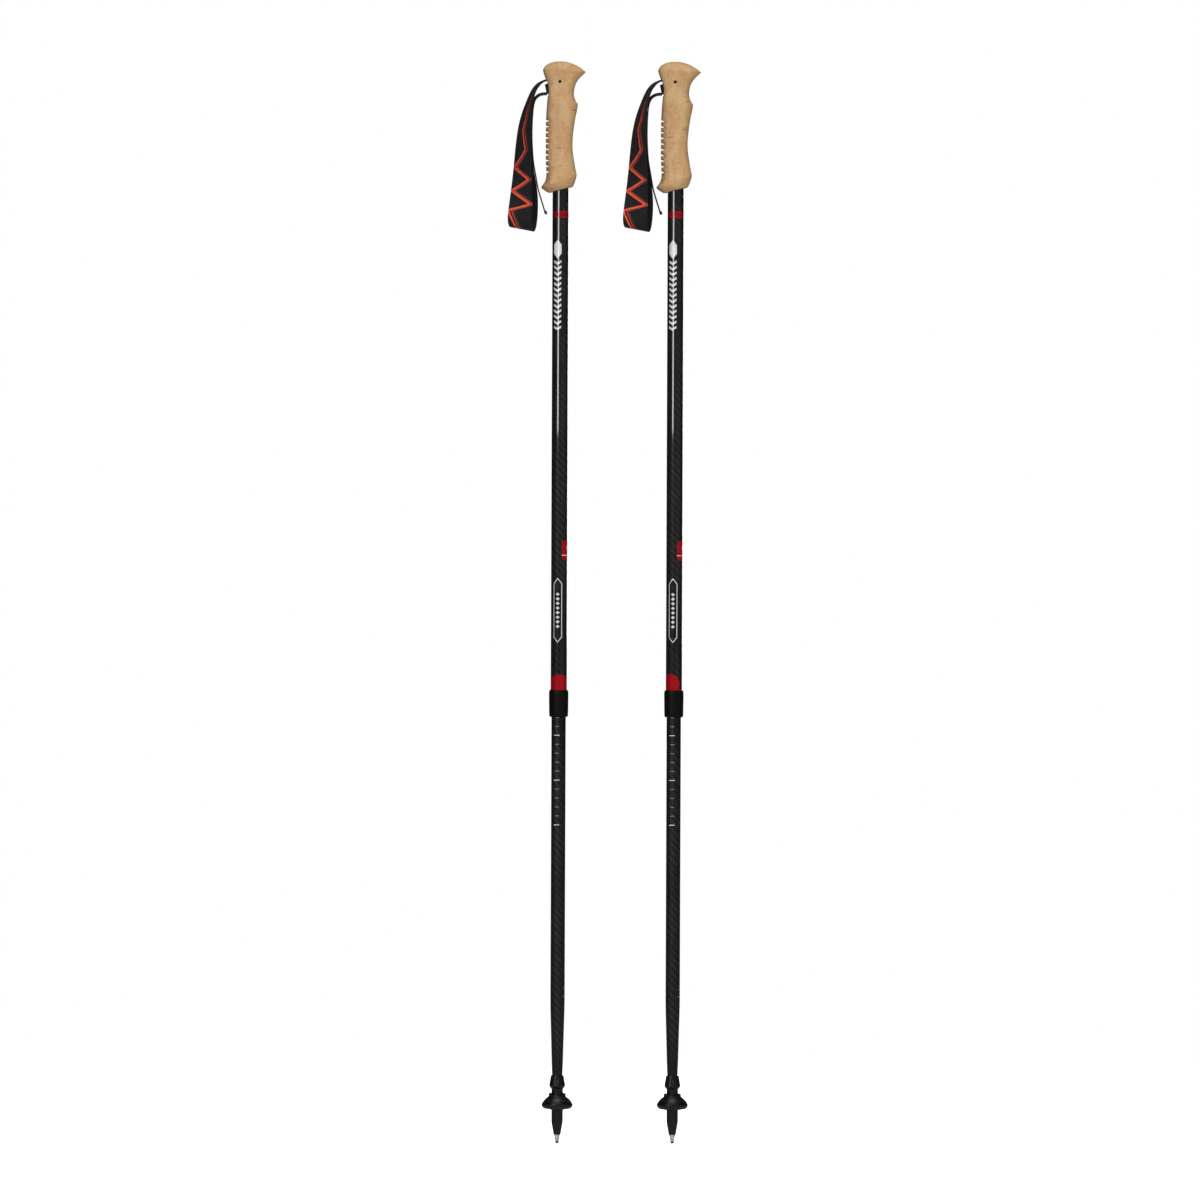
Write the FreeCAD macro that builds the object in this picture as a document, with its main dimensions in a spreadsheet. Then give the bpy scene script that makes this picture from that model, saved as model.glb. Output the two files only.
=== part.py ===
import FreeCAD, Part

# A pair of two-section trekking poles with cork grips, wrist straps, twist locks and small baskets.
# Each pole is drawn about its own axis with height measured up from the carbide tip.  It is then
# placed so that the origin is the middle of the left pole's hand-hold, +Z runs up the shafts and
# +X points the way the grips' front beaks point.

import math
import os

import Sketcher
from FreeCAD import Placement, Rotation, Vector

POLES = ("left", "right")

# Driving dimensions in millimetres.  Heights are above the tip.
SIZES = {
    "pole_spacing": 128.8,
    "hand_height": 1130.0,
    # carbon shafts
    "upper_radius": 9.0,
    "upper_bore": 8.15,
    "upper_foot": 479.6,
    "upper_head": 1165.0,
    "lower_radius": 8.0,
    "lower_wall": 1.1,
    "lower_head": 646.0,
    "taper_top": 154.7,
    "taper_foot": 40.0,
    "taper_radius": 4.85,
    # lock collar on the foot of the upper shaft
    "collar_top": 507.0,
    "collar_foot": 476.6,
    "collar_top_radius": 10.9,
    "collar_foot_radius": 10.45,
    "collar_round": 3.0,
    "collar_lip_bore": 8.06,
    # twist lock
    "thread_radius": 3.0,
    "thread_depth": 0.45,
    "thread_pitch": 1.5,
    "running_gap": 0.05,
    "plug_foot": 622.0,
    "plug_head": 649.0,
    "expander_foot": 652.0,
    "expander_length": 32.0,
    "expander_slit": 1.6,
    "nut_foot": 660.0,
    "nut_length": 20.0,
    "stud_head": 692.0,
    # tip
    "cone_top": 75.8,
    "cone_top_radius": 7.15,
    "cone_skirt": 64.9,
    "cone_skirt_radius": 8.95,
    "neck_top": 60.7,
    "neck_radius": 6.45,
    "stop_ring_radius": 6.95,
    "stop_ring_height": 0.6,
    "seat_top": 53.9,
    "seat_foot": 37.4,
    "seat_radius": 6.7,
    "cap_radius": 6.45,
    "cap_foot": 23.9,
    "ferrule_foot": 10.0,
    "ferrule_foot_radius": 3.95,
    "holder_stem_radius": 2.9,
    "holder_stem_head": 26.0,
    "carbide_radius": 1.9,
    "carbide_stem_radius": 1.5,
    # basket
    "basket_lug_top": 56.0,
    "basket_lug_radius": 7.2,
    "basket_flange_radius": 9.6,
    "basket_hub_top": 53.8,
    "basket_hub_radius": 8.65,
    "basket_rim": 43.3,
    "basket_foot": 37.6,
    "basket_radius": 17.5,
    "basket_opening_inner": 13.4,
    "basket_opening_outer": 16.4,
    # grip
    "notch_first": 1142.3,
    "notch_pitch": 6.33,
    "notch_height": 2.0,
    "notch_floor": -13.3,
    "slot_floor": 1171.6,
    "slot_top": 1190.2,
    "slot_half_width": 7.0,
    "slot_end": 4.0,
    "pin_radius": 1.6,
    "pin_along": -1.2,
    "pin_height": 1186.6,
    "pin_length": 17.0,
    "pin_hole_radius": 1.75,
    "core_rear": -10.5,
    "core_front": 9.5,
    "core_half_width": 9.0,
    "core_top": 1194.0,
    "spigot_foot": 1148.0,
    # webbing
    "web_width": 13.0,
    "web_thickness": 1.4,
    "strap_width": 28.0,
    "lining_thickness": 1.6,
    "lining_gap": 0.2,
    "tail_thickness": 1.1,
}

BASKET_OPENING_FROM, BASKET_OPENING_TO = 28, 62  # degrees round from the basket's long axis
NOTCHES = 10
CLEAR = 30.0  # how far a cutter reaches, well past the outside of the grip

# The grip's sections, from the foot up to the rim of the crown: the rear point and the front point
# (x, height), the half depth, and the fullness, which is 2 for an ellipse and more for a squarer one.
GRIP_SECTIONS = (
    ((-13.3, 1062.8), (12.9, 1069.3), 11.2, 2.2),
    ((-20.4, 1067.3), (14.9, 1072.3), 15.6, 2.2),
    ((-21.4, 1069.9), (17.8, 1081.4), 16.8, 2.2),
    ((-18.7, 1073.7), (17.4, 1086.0), 15.6, 2.3),
    ((-16.6, 1078.4), (16.4, 1090.8), 14.4, 2.4),
    ((-16.3, 1090.0), (15.0, 1099.0), 13.4, 2.5),
    ((-16.8, 1104.0), (13.5, 1109.0), 13.0, 2.5),
    ((-16.8, 1121.0), (13.2, 1122.0), 13.0, 2.5),
    ((-16.8, 1138.0), (14.6, 1136.0), 13.2, 2.5),
    ((-16.4, 1150.0), (16.7, 1149.0), 13.5, 2.6),
    ((-15.9, 1159.0), (18.6, 1158.6), 13.7, 2.8),
    ((-15.6, 1162.6), (18.9, 1162.4), 13.6, 3.0),
    ((-15.2, 1166.8), (16.1, 1166.6), 13.2, 3.1),
    ((-14.7, 1173.0), (14.5, 1173.0), 12.7, 3.2),
    ((-15.2, 1182.0), (15.6, 1182.0), 12.8, 3.2),
    ((-17.3, 1190.4), (18.9, 1189.0), 13.5, 2.9),
    ((-19.6, 1197.0), (24.0, 1194.6), 14.4, 2.5),
    ((-20.3, 1200.6), (27.7, 1197.9), 15.0, 2.3),
)

# The sections where the grip's form has a crease: round the flared foot and at the finger ridge.
GRIP_CREASES = 2, 11
SECTION_POINTS = 24

# The same sections for the crown over the rim.
CROWN_SECTIONS = (
    GRIP_SECTIONS[-1],
    ((-18.0, 1204.4), (21.6, 1203.0), 13.9, 2.2),
    ((-13.6, 1207.6), (12.6, 1207.6), 10.6, 2.1),
    ((-8.2, 1209.4), (6.4, 1209.4), 6.2, 2.0),
    ((-3.0, 1209.9), (1.6, 1209.9), 2.0, 2.0),
)

# The loop of webbing that goes round the hand, from the slot's upper exit down the outer leg,
# round the bottom and up the inner leg to the slot's lower exit: the middle of the webbing
# (x, y, height), its turn in degrees from lying across the pole, its dip in degrees at the bottom
# fold, and its width as a share of the way from the narrow webbing to the full hand strap.
LOOP = (
    (-17.9, 0.0, 1188.5, 4, 0, 0.0),
    (-24.6, 0.0, 1184.6, 8, 0, 0.25),
    (-30.3, -0.4, 1177.2, 10, 0, 0.6),
    (-34.4, -1.0, 1166.6, 14, 0, 0.85),
    (-37.8, -1.9, 1154.4, 21, 0, 0.97),
    (-40.2, -3.1, 1138.6, 29, 0, 1.0),
    (-41.9, -4.6, 1117.2, 36, 0, 1.0),
    (-42.7, -6.0, 1092.4, 44, 1, 1.0),
    (-43.5, -7.4, 1066.5, 57, 3, 1.0),
    (-44.7, -8.3, 1045.0, 72, 6, 1.0),
    (-45.4, -7.7, 1032.0, 79, 9, 1.0),
    (-44.6, -4.5, 1024.9, 80, 11, 1.0),
    (-42.9, 0.5, 1022.6, 80, 11, 1.0),
    (-41.2, 5.3, 1025.6, 79, 10, 1.0),
    (-39.8, 8.3, 1033.0, 77, 8, 1.0),
    (-38.5, 8.9, 1049.0, 71, 5, 1.0),
    (-37.6, 7.9, 1070.0, 52, 2, 0.95),
    (-36.3, 6.3, 1088.0, 31, 0, 0.7),
    (-34.7, 4.8, 1106.0, 14, 0, 0.35),
    (-33.8, 3.4, 1128.0, 4, 0, 0.1),
    (-33.2, 2.0, 1147.0, 0, 0, 0.0),
    (-32.1, 0.9, 1161.0, 0, 0, 0.0),
    (-27.6, 0.3, 1171.0, 0, 0, 0.0),
    (-17.9, 0.0, 1174.4, 0, 0, 0.0),
)
LINING_FROM, LINING_TO = 4, 17

# The free end of the webbing: (x, y, height) from the slot's lower exit to its folded tip.
TAIL = (
    (-15.6, 0.0, 1172.6),
    (-18.4, 0.0, 1172.5),
    (-22.0, 0.0, 1171.8),
    (-25.7, 0.1, 1169.8),
    (-28.6, 0.3, 1165.9),
    (-30.3, 0.6, 1159.5),
    (-31.4, 1.0, 1147.0),
    (-31.9, 1.2, 1131.0),
    (-31.4, 1.4, 1113.0),
    (-29.6, 1.6, 1097.0),
    (-27.0, 1.8, 1080.0),
    (-25.2, 2.0, 1069.7),
    (-21.4, 2.2, 1056.0),
    (-17.2, 2.4, 1042.6),
)


class Size:
    """A length that knows its value in millimetres and its expression in the spreadsheet."""

    def __init__(self, value, text):
        self.value = value
        self.text = text

    def __add__(self, other):
        other = as_size(other)
        return Size(self.value + other.value, f"({self.text} + {other.text})")

    def __sub__(self, other):
        other = as_size(other)
        return Size(self.value - other.value, f"({self.text} - {other.text})")

    def __mul__(self, factor):
        return Size(self.value * factor, f"({self.text} * {factor})")

    def __neg__(self):
        return Size(-self.value, f"(-{self.text})")


def as_size(number):
    return number if isinstance(number, Size) else Size(float(number), repr(float(number)))


class Sizes:
    """The spreadsheet: each driving dimension is a Size under its own name."""

    def __init__(self, doc, values):
        sheet = doc.addObject("Spreadsheet::Sheet", "sizes")
        for row, (name, value) in enumerate(values.items(), start=1):
            sheet.set(f"A{row}", name)
            sheet.set(f"B{row}", str(value))
            sheet.setAlias(f"B{row}", name)
            setattr(self, name, Size(value, f"sizes.{name}"))
        doc.recompute()


doc = FreeCAD.newDocument("trekking_poles")
size = Sizes(doc, SIZES)
nodes = []


def bind(thing, **properties):
    """Binds properties to sizes; a double underscore in a name stands for a dot."""
    for name, value in properties.items():
        thing.setExpression(name.replace("__", "."), as_size(value).text)


def place(thing, pole):
    """Stands a finished piece on its own pole, with the hand-hold at the origin's height."""
    bind(thing, Placement__Base__z=-size.hand_height)
    if pole == "right":
        bind(thing, Placement__Base__x=size.pole_spacing)


def finish(thing, pole, name):
    """Names a finished piece, places it and puts it on the list of nodes."""
    thing.Label = f"{pole}_{name}"
    place(thing, pole)
    nodes.append(thing)
    return thing


def new_body(pole, name):
    return doc.addObject("PartDesign::Body", f"{pole}_{name}_body")


def sketch_on(body, role, name, height=None):
    """A sketch on one of the body's origin planes, raised along its normal by height."""
    sketch = body.newObject("Sketcher::SketchObject", f"{body.Name}_{name}")
    plane = [item for item in body.Origin.OriginFeatures if item.Role == role][0]
    sketch.AttachmentSupport = [(plane, "")]
    sketch.MapMode = "FlatFace"
    if height is not None:
        bind(sketch, AttachmentOffset__Base__z=height)
    return sketch


def arc_piece(start, end, radius):
    """An arc from start to end: it turns left for a positive radius and right for a negative one."""
    along = end.sub(start)
    half = along.Length / 2
    rise = math.sqrt(radius * radius - half * half)
    left = Vector(-along.y, along.x, 0).normalize()
    centre = start.add(end).multiply(0.5).add(left.multiply(math.copysign(rise, radius)))
    first, last = (start, end) if radius > 0 else (end, start)
    angles = [math.atan2(point.y - centre.y, point.x - centre.x) for point in (first, last)]
    return Part.ArcOfCircle(Part.Circle(centre, Vector(0, 0, 1), abs(radius)), *angles)


def draw_profile(sketch, points):
    """A closed outline whose corners are tied to the sheet.

    Each point is (across, up), or (across, up, radius) where an arc leads on to the next point."""
    values = [Vector(as_size(point[0]).value, as_size(point[1]).value, 0) for point in points]
    count = len(points)
    ends = []
    for index, point in enumerate(points):
        start, end = values[index], values[(index + 1) % count]
        if len(point) == 2:
            sketch.addGeometry(Part.LineSegment(start, end), False)
            ends.append((1, 2))
        else:
            sketch.addGeometry(arc_piece(start, end, as_size(point[2]).value), False)
            ends.append((1, 2) if as_size(point[2]).value > 0 else (2, 1))
    for index in range(count):
        following = (index + 1) % count
        sketch.addConstraint(
            Sketcher.Constraint("Coincident", index, ends[index][1], following, ends[following][0])
        )
    for index, point in enumerate(points):
        corner = (index, ends[index][0])
        tie(sketch, Sketcher.Constraint("DistanceX", -1, 1, *corner, values[index].x), point[0])
        tie(sketch, Sketcher.Constraint("DistanceY", -1, 1, *corner, values[index].y), point[1])
        if len(point) == 3:
            radius = point[2] if as_size(point[2]).value > 0 else -point[2]
            tie(sketch, Sketcher.Constraint("Radius", index, as_size(radius).value), radius)


def tie(sketch, constraint, value):
    """Adds a constraint, with an expression where its value comes from the sheet."""
    number = sketch.addConstraint(constraint)
    if isinstance(value, Size):
        sketch.setExpression(f"Constraints[{number}]", value.text)


def turn(body, points, name="turned"):
    """Adds a full turn of an outline of (radius, height) about the pole's axis."""
    sketch = sketch_on(body, "XZ_Plane", f"{name}_outline")
    draw_profile(sketch, points)
    turned = body.newObject("PartDesign::Revolution", f"{body.Name}_{name}")
    turned.Profile = sketch
    turned.ReferenceAxis = (sketch, ["V_Axis"])
    turned.Angle = 360
    body.Tip = turned
    return turned


def turned_piece(pole, name, points):
    body = new_body(pole, name)
    turn(body, points)
    return finish(body, pole, name)


def cut_through(body, points, name, height=None, length=None):
    """Pockets an outline drawn on the XY plane upwards from height, and checks that it cuts."""
    sketch = sketch_on(body, "XY_Plane", f"{name}_outline", height)
    draw_profile(sketch, points)
    doc.recompute()
    before = body.Shape.Volume
    pocket = body.newObject("PartDesign::Pocket", f"{body.Name}_{name}")
    pocket.Profile = sketch
    pocket.Reversed = True
    if length is None:
        pocket.Type = "ThroughAll"
    else:
        bind(pocket, Length=length)
    body.Tip = pocket
    doc.recompute()
    if body.Shape.Volume > before - 1:
        raise RuntimeError(f"{pocket.Name} cuts nothing")
    return pocket


def repeat_round(body, feature, count, name):
    """Repeats a feature evenly round the pole's axis."""
    pattern = body.newObject("PartDesign::PolarPattern", f"{body.Name}_{name}")
    pattern.Originals = [feature]
    axis = [item for item in body.Origin.OriginFeatures if item.Role == "Z_Axis"][0]
    pattern.Axis = (axis, [""])
    pattern.Angle = 360
    pattern.Occurrences = count
    body.Tip = pattern


def primitive(kind, name, **sizes):
    thing = doc.addObject(f"Part::{kind}", name)
    bind(thing, **sizes)
    return thing


def combined(kind, name, first, second):
    result = doc.addObject(f"Part::{kind}", name)
    result.Base = first
    result.Tool = second
    return result


def box(name, low, high):
    """A box between two corners."""
    low, high = [as_size(n) for n in low], [as_size(n) for n in high]
    return primitive(
        "Box",
        name,
        Length=high[0] - low[0],
        Width=high[1] - low[1],
        Height=high[2] - low[2],
        Placement__Base__x=low[0],
        Placement__Base__y=low[1],
        Placement__Base__z=low[2],
    )


def rod(name, radius, foot, head):
    """An upright cylinder on the pole's axis."""
    foot, head = as_size(foot), as_size(head)
    return primitive("Cylinder", name, Radius=radius, Height=head - foot, Placement__Base__z=foot)


def cross_rod(name, radius, length):
    """A cylinder along Y through the strap pin's place."""
    thing = doc.addObject("Part::Cylinder", name)
    thing.Placement = Placement(Vector(), Rotation(Vector(1, 0, 0), 90))
    bind(
        thing,
        Radius=radius,
        Height=length,
        Placement__Base__x=size.pin_along,
        Placement__Base__y=as_size(length) * 0.5,
        Placement__Base__z=size.pin_height,
    )
    return thing


# ---- shafts -------------------------------------------------------------------------------


def make_upper_shaft(pole):
    turned_piece(
        pole,
        "upper_shaft",
        (
            (size.upper_bore, size.upper_foot),
            (size.upper_radius, size.upper_foot),
            (size.upper_radius, size.upper_head),
            (size.upper_bore, size.upper_head),
        ),
    )


def make_lower_shaft(pole):
    wall = size.lower_wall
    turned_piece(
        pole,
        "lower_shaft",
        (
            (size.taper_radius - wall, size.taper_foot),
            (size.taper_radius, size.taper_foot),
            (size.lower_radius, size.taper_top),
            (size.lower_radius, size.lower_head),
            (size.lower_radius - wall, size.lower_head),
            (size.lower_radius - wall, size.taper_top),
        ),
    )


def make_collar(pole):
    """The moulded sleeve round the foot of the upper shaft, with a lip that the lower one runs in."""
    top_round = 1.0
    turned_piece(
        pole,
        "lock_collar",
        (
            (size.collar_lip_bore, size.collar_foot),
            (size.collar_lip_bore + 0.5, size.collar_foot, size.collar_round),
            (size.collar_foot_radius, size.collar_foot + size.collar_round),
            (size.collar_top_radius, size.collar_top - top_round, top_round),
            (size.collar_top_radius - top_round, size.collar_top),
            (size.upper_radius, size.collar_top),
            (size.upper_radius, size.upper_foot),
            (size.collar_lip_bore, size.upper_foot),
        ),
    )


# ---- twist lock ---------------------------------------------------------------------------


def make_plug(pole):
    """The plug glued in the head of the lower shaft, which the stud is moulded into."""
    bore = size.lower_radius - size.lower_wall
    turned_piece(
        pole,
        "stud_plug",
        (
            (size.thread_radius, size.plug_foot),
            (bore, size.plug_foot),
            (bore, size.lower_head),
            (size.lower_radius, size.lower_head),
            (size.lower_radius, size.plug_head),
            (size.thread_radius, size.plug_head),
        ),
    )


def make_stud(pole):
    """The lock's threaded stud.  Its thread is drawn as rings, because a ring turns in place."""
    body = new_body(pole, "lock_stud")
    chamfer, rings_shown = 0.6, 20
    turn(
        body,
        (
            (0, size.plug_foot),
            (size.thread_radius, size.plug_foot),
            (size.thread_radius, size.stud_head - chamfer),
            (size.thread_radius - chamfer, size.stud_head),
            (0, size.stud_head),
        ),
        name="rod",
    )
    root = size.thread_radius - size.thread_depth
    first = size.expander_foot + 4
    groove = body.newObject("PartDesign::Groove", f"{body.Name}_thread_ring")
    sketch = sketch_on(body, "XZ_Plane", "ring_outline")
    draw_profile(
        sketch,
        (
            (root, first + size.thread_pitch * 0.4),
            (size.thread_radius + 0.2, first),
            (size.thread_radius + 0.2, first + size.thread_pitch * 0.8),
        ),
    )
    groove.Profile = sketch
    groove.ReferenceAxis = (sketch, ["V_Axis"])
    groove.Angle = 360
    rings = body.newObject("PartDesign::LinearPattern", f"{body.Name}_thread")
    rings.Originals = [groove]
    rings.Direction = ([item for item in body.Origin.OriginFeatures if item.Role == "Z_Axis"][0], [""])
    rings.Occurrences = rings_shown
    bind(rings, Length=size.thread_pitch * (rings_shown - 1))
    body.Tip = rings
    finish(body, pole, "lock_stud")


def make_expander(pole):
    """The split sleeve that the cone nut spreads against the bore of the upper shaft."""
    foot = size.expander_foot
    head = foot + size.expander_length
    outer = size.upper_bore - size.running_gap
    body = new_body(pole, "lock_expander")
    turn(
        body,
        (
            (size.thread_radius + size.running_gap, foot),
            (outer - 0.8, foot),
            (outer, foot + 0.8),
            (outer, head),
            (outer - 1.2, head),
            (4.4, foot + 4),
            (size.thread_radius + size.running_gap, foot + 4),
        ),
    )
    half = size.expander_slit * 0.5
    reach = size.upper_radius
    slit = cut_through(
        body,
        ((0, -half), (reach, -half), (reach, half), (0, half)),
        "slit",
        height=foot + 6,
        length=size.expander_length,
    )
    repeat_round(body, slit, 4, "slits")
    finish(body, pole, "lock_expander")


def make_cone_nut(pole):
    """The cone that climbs the stud.  Its ribs ride in the expander's slits and stop it turning."""
    foot = size.nut_foot
    head = foot + size.nut_length
    foot_radius, head_radius, rib_height, rib_reach, slit_gap = 4.55, 6.15, 8.0, 7.4, 0.15
    body = new_body(pole, "cone_nut")
    turn(
        body,
        (
            (size.thread_radius + size.running_gap, foot),
            (foot_radius, foot),
            (head_radius, head),
            (size.thread_radius + size.running_gap, head),
        ),
    )
    rib = body.newObject("PartDesign::Pad", f"{body.Name}_rib")
    sketch = sketch_on(body, "XY_Plane", "rib_outline", head - rib_height)
    half = size.expander_slit * 0.5 - slit_gap
    root = foot_radius - 0.35
    draw_profile(sketch, ((root, -half), (rib_reach, -half), (rib_reach, half), (root, half)))
    rib.Profile = sketch
    bind(rib, Length=rib_height)
    body.Tip = rib
    repeat_round(body, rib, 4, "ribs")
    finish(body, pole, "cone_nut")


def make_stop_nut(pole):
    """The hexagon nut on the stud's head that keeps the lock together."""
    height, corner_radius, stud_shown = 4.0, 5.6, 1.5
    foot = size.stud_head - height - stud_shown
    prism = primitive("Prism", f"{pole}_stop_nut_hexagon", Circumradius=corner_radius, Height=height)
    bind(prism, Placement__Base__z=foot)
    hole = rod(f"{pole}_stop_nut_hole", size.thread_radius, foot - 1, size.stud_head)
    finish(combined("Cut", f"{pole}_stop_nut_cut", prism, hole), pole, "stop_nut")


# ---- tip ----------------------------------------------------------------------------------


def make_ferrule(pole):
    """The moulded tip: a socket on the shaft's taper, a stop cone, the basket's seat and a nose."""
    taper = (SIZES["lower_radius"] - SIZES["taper_radius"]) / (SIZES["taper_top"] - SIZES["taper_foot"])
    mouth = size.taper_radius + (size.cone_top - size.taper_foot) * taper
    turned_piece(
        pole,
        "tip_ferrule",
        (
            (0, size.holder_stem_head),
            (size.holder_stem_radius, size.holder_stem_head),
            (size.holder_stem_radius, size.ferrule_foot),
            (size.ferrule_foot_radius, size.ferrule_foot),
            (size.cap_radius, size.cap_foot),
            (size.cap_radius, size.seat_foot),
            (size.seat_radius, size.seat_foot),
            (size.seat_radius, size.seat_top),
            (size.stop_ring_radius, size.seat_top),
            (size.stop_ring_radius, size.seat_top + size.stop_ring_height),
            (size.neck_radius, size.seat_top + size.stop_ring_height),
            (size.neck_radius, size.neck_top),
            (size.cone_skirt_radius - 0.3, size.cone_skirt - 1.6),
            (size.cone_skirt_radius, size.cone_skirt),
            (size.cone_top_radius, size.cone_top),
            (mouth, size.cone_top),
            (size.taper_radius, size.taper_foot),
            (0, size.taper_foot),
        ),
    )


def make_basket(pole):
    """The small basket: a domed dish on a hub with two raised lugs, a turned-in rim and four openings."""
    rim, radius = size.basket_rim, size.basket_radius
    hub, flange = size.basket_hub_radius, size.basket_flange_radius
    bore = size.seat_radius + size.running_gap
    body = new_body(pole, "basket")
    turn(
        body,
        (
            (bore, size.basket_foot),
            (hub, size.basket_foot),
            (hub, rim + 4.6),
            (radius - 5.1, rim + 2.2),
            (radius - 2.7, rim + 0.4),
            (radius - 1.9, rim - 0.9),
            (radius - 2.5, rim - 2.3),
            (radius - 4.5, rim - 3.5),
            (radius - 5.1, rim - 4.8, 4.8),
            (radius, rim, 19.0),
            (flange + 0.9, rim + 8.6),
            (flange, rim + 9.3),
            (flange, size.basket_lug_top - 0.4),
            (flange - 0.4, size.basket_lug_top),
            (size.basket_lug_radius, size.basket_lug_top),
            (size.basket_lug_radius, size.basket_hub_top),
            (bore, size.basket_hub_top),
        ),
    )
    beside = size.basket_lug_radius - 1.0
    gap = cut_through(
        body,
        (
            (-beside, size.basket_hub_radius * 0.4),
            (beside, size.basket_hub_radius * 0.4),
            (beside, radius),
            (-beside, radius),
        ),
        "lug_gap",
        height=size.basket_hub_top,
        length=5,
    )
    repeat_round(body, gap, 2, "lug_gaps")
    inner, outer = size.basket_opening_inner, size.basket_opening_outer
    low, high = math.radians(BASKET_OPENING_FROM), math.radians(BASKET_OPENING_TO)
    opening = cut_through(
        body,
        (
            (inner * math.cos(low), inner * math.sin(low)),
            (outer * math.cos(low), outer * math.sin(low), outer),
            (outer * math.cos(high), outer * math.sin(high)),
            (inner * math.cos(high), inner * math.sin(high), -inner),
        ),
        "opening",
        height=rim + 0.6,
        length=size.basket_lug_top - rim,
    )
    repeat_round(body, opening, 4, "openings")
    finish(body, pole, "basket")


def make_tip_holder(pole):
    """The steel holder pressed into the nose of the ferrule."""
    stem = size.holder_stem_radius
    foot = size.ferrule_foot
    turned_piece(
        pole,
        "tip_holder",
        (
            (0, size.holder_stem_head),
            (0, 12.0),
            (size.carbide_stem_radius, 12.0),
            (size.carbide_stem_radius, 2.4),
            (2.1, 2.4),
            (2.75, 6.4),
            (2.55, 6.9),
            (2.85, 7.6),
            (3.4, 8.6),
            (3.5, foot),
            (stem, foot),
            (stem, size.holder_stem_head),
        ),
    )


def make_carbide(pole):
    """The hard-metal point: a short stem and a cupped end with a sharp rim."""
    turned_piece(
        pole,
        "carbide_tip",
        (
            (0, 12.0),
            (0, 0.9),
            (size.carbide_radius - 0.35, 0),
            (size.carbide_radius, 0.35),
            (size.carbide_radius, 2.4),
            (size.carbide_stem_radius, 2.4),
            (size.carbide_stem_radius, 12.0),
        ),
    )


# ---- grip ---------------------------------------------------------------------------------


def grip_section(rear, front, half_depth, fullness):
    """A closed curve between a rear and a front point, as deep either way as half_depth."""
    middle = Vector((rear[0] + front[0]) / 2, 0, (rear[1] + front[1]) / 2)
    forward = Vector(front[0], 0, front[1]).sub(middle)
    points = []
    for step in range(SECTION_POINTS):
        angle = math.tau * step / SECTION_POINTS
        c, s = math.cos(angle), math.sin(angle)
        reach = (abs(c) ** fullness + abs(s) ** fullness) ** (-1 / fullness)
        points.append(middle + forward * (reach * c) + Vector(0, reach * s * half_depth, 0))
    curve = Part.BSplineCurve()
    curve.interpolate(Points=points, PeriodicFlag=True)
    return Part.Wire([curve.toShape()])


def grip_loft(pole, name, sections):
    """A smooth solid through sections of the grip."""
    loft = doc.addObject("Part::Loft", f"{pole}_{name}")
    curves = []
    for index, section in enumerate(sections):
        curve = doc.addObject("Part::Feature", f"{pole}_{name}_{index}")
        curve.Shape = grip_section(*section)
        curves.append(curve)
    loft.Sections = curves
    loft.Solid = True
    loft.Ruled = False
    return loft


def grip_form(pole):
    """The whole form of the grip, in smooth stretches that meet at its creases."""
    ends = 0, *GRIP_CREASES, len(GRIP_SECTIONS) - 1
    stretches = [GRIP_SECTIONS[first : last + 1] for first, last in zip(ends, ends[1:])]
    form = doc.addObject("Part::MultiFuse", f"{pole}_grip_form")
    form.Shapes = [
        grip_loft(pole, f"grip_form_{index}", sections)
        for index, sections in enumerate((*stretches, CROWN_SECTIONS))
    ]
    return form


def slot_box(pole, name, end):
    return box(
        f"{pole}_{name}",
        (-CLEAR, -size.slot_half_width, size.slot_floor),
        (end, size.slot_half_width, size.slot_top),
    )


def insert_block(pole, name):
    """The outer form of the grip's plastic core: a spigot in the shaft and a block round the slot."""
    block = box(
        f"{pole}_{name}_block",
        (size.core_rear, -size.core_half_width, size.upper_head),
        (size.core_front, size.core_half_width, size.core_top),
    )
    spigot = rod(f"{pole}_{name}_spigot", size.upper_bore, size.spigot_foot, size.upper_head)
    return combined("Fuse", f"{pole}_{name}", block, spigot)


def make_insert(pole):
    with_slot = combined(
        "Cut",
        f"{pole}_insert_with_slot",
        insert_block(pole, "insert"),
        slot_box(pole, "insert_slot", size.slot_end),
    )
    hole = cross_rod(f"{pole}_insert_pin_hole", size.pin_radius, 2 * CLEAR)
    finish(combined("Cut", f"{pole}_insert_cut", with_slot, hole), pole, "grip_insert")


def make_grip(pole):
    """The cork grip: a lofted hand-hold and crown, notched at the rear and hollowed for its core."""
    notches = doc.addObject("Part::MultiFuse", f"{pole}_notches")
    notches.Shapes = [
        box(
            f"{pole}_notch_{index}",
            (-CLEAR, -CLEAR, size.notch_first - size.notch_pitch * index),
            (size.notch_floor, CLEAR, size.notch_first - size.notch_pitch * index + size.notch_height),
        )
        for index in range(NOTCHES)
    ]
    hollows = doc.addObject("Part::MultiFuse", f"{pole}_grip_hollows")
    hollows.Shapes = [
        notches,
        rod(f"{pole}_grip_bore", size.upper_radius, GRIP_SECTIONS[0][0][1] - 10, size.upper_head),
        insert_block(pole, "grip_core"),
        slot_box(pole, "grip_slot", 0),
        cross_rod(f"{pole}_grip_pin_hole", size.pin_hole_radius, 2 * CLEAR),
    ]
    finish(combined("Cut", f"{pole}_grip_cut", grip_form(pole), hollows), pole, "cork_grip")


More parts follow.
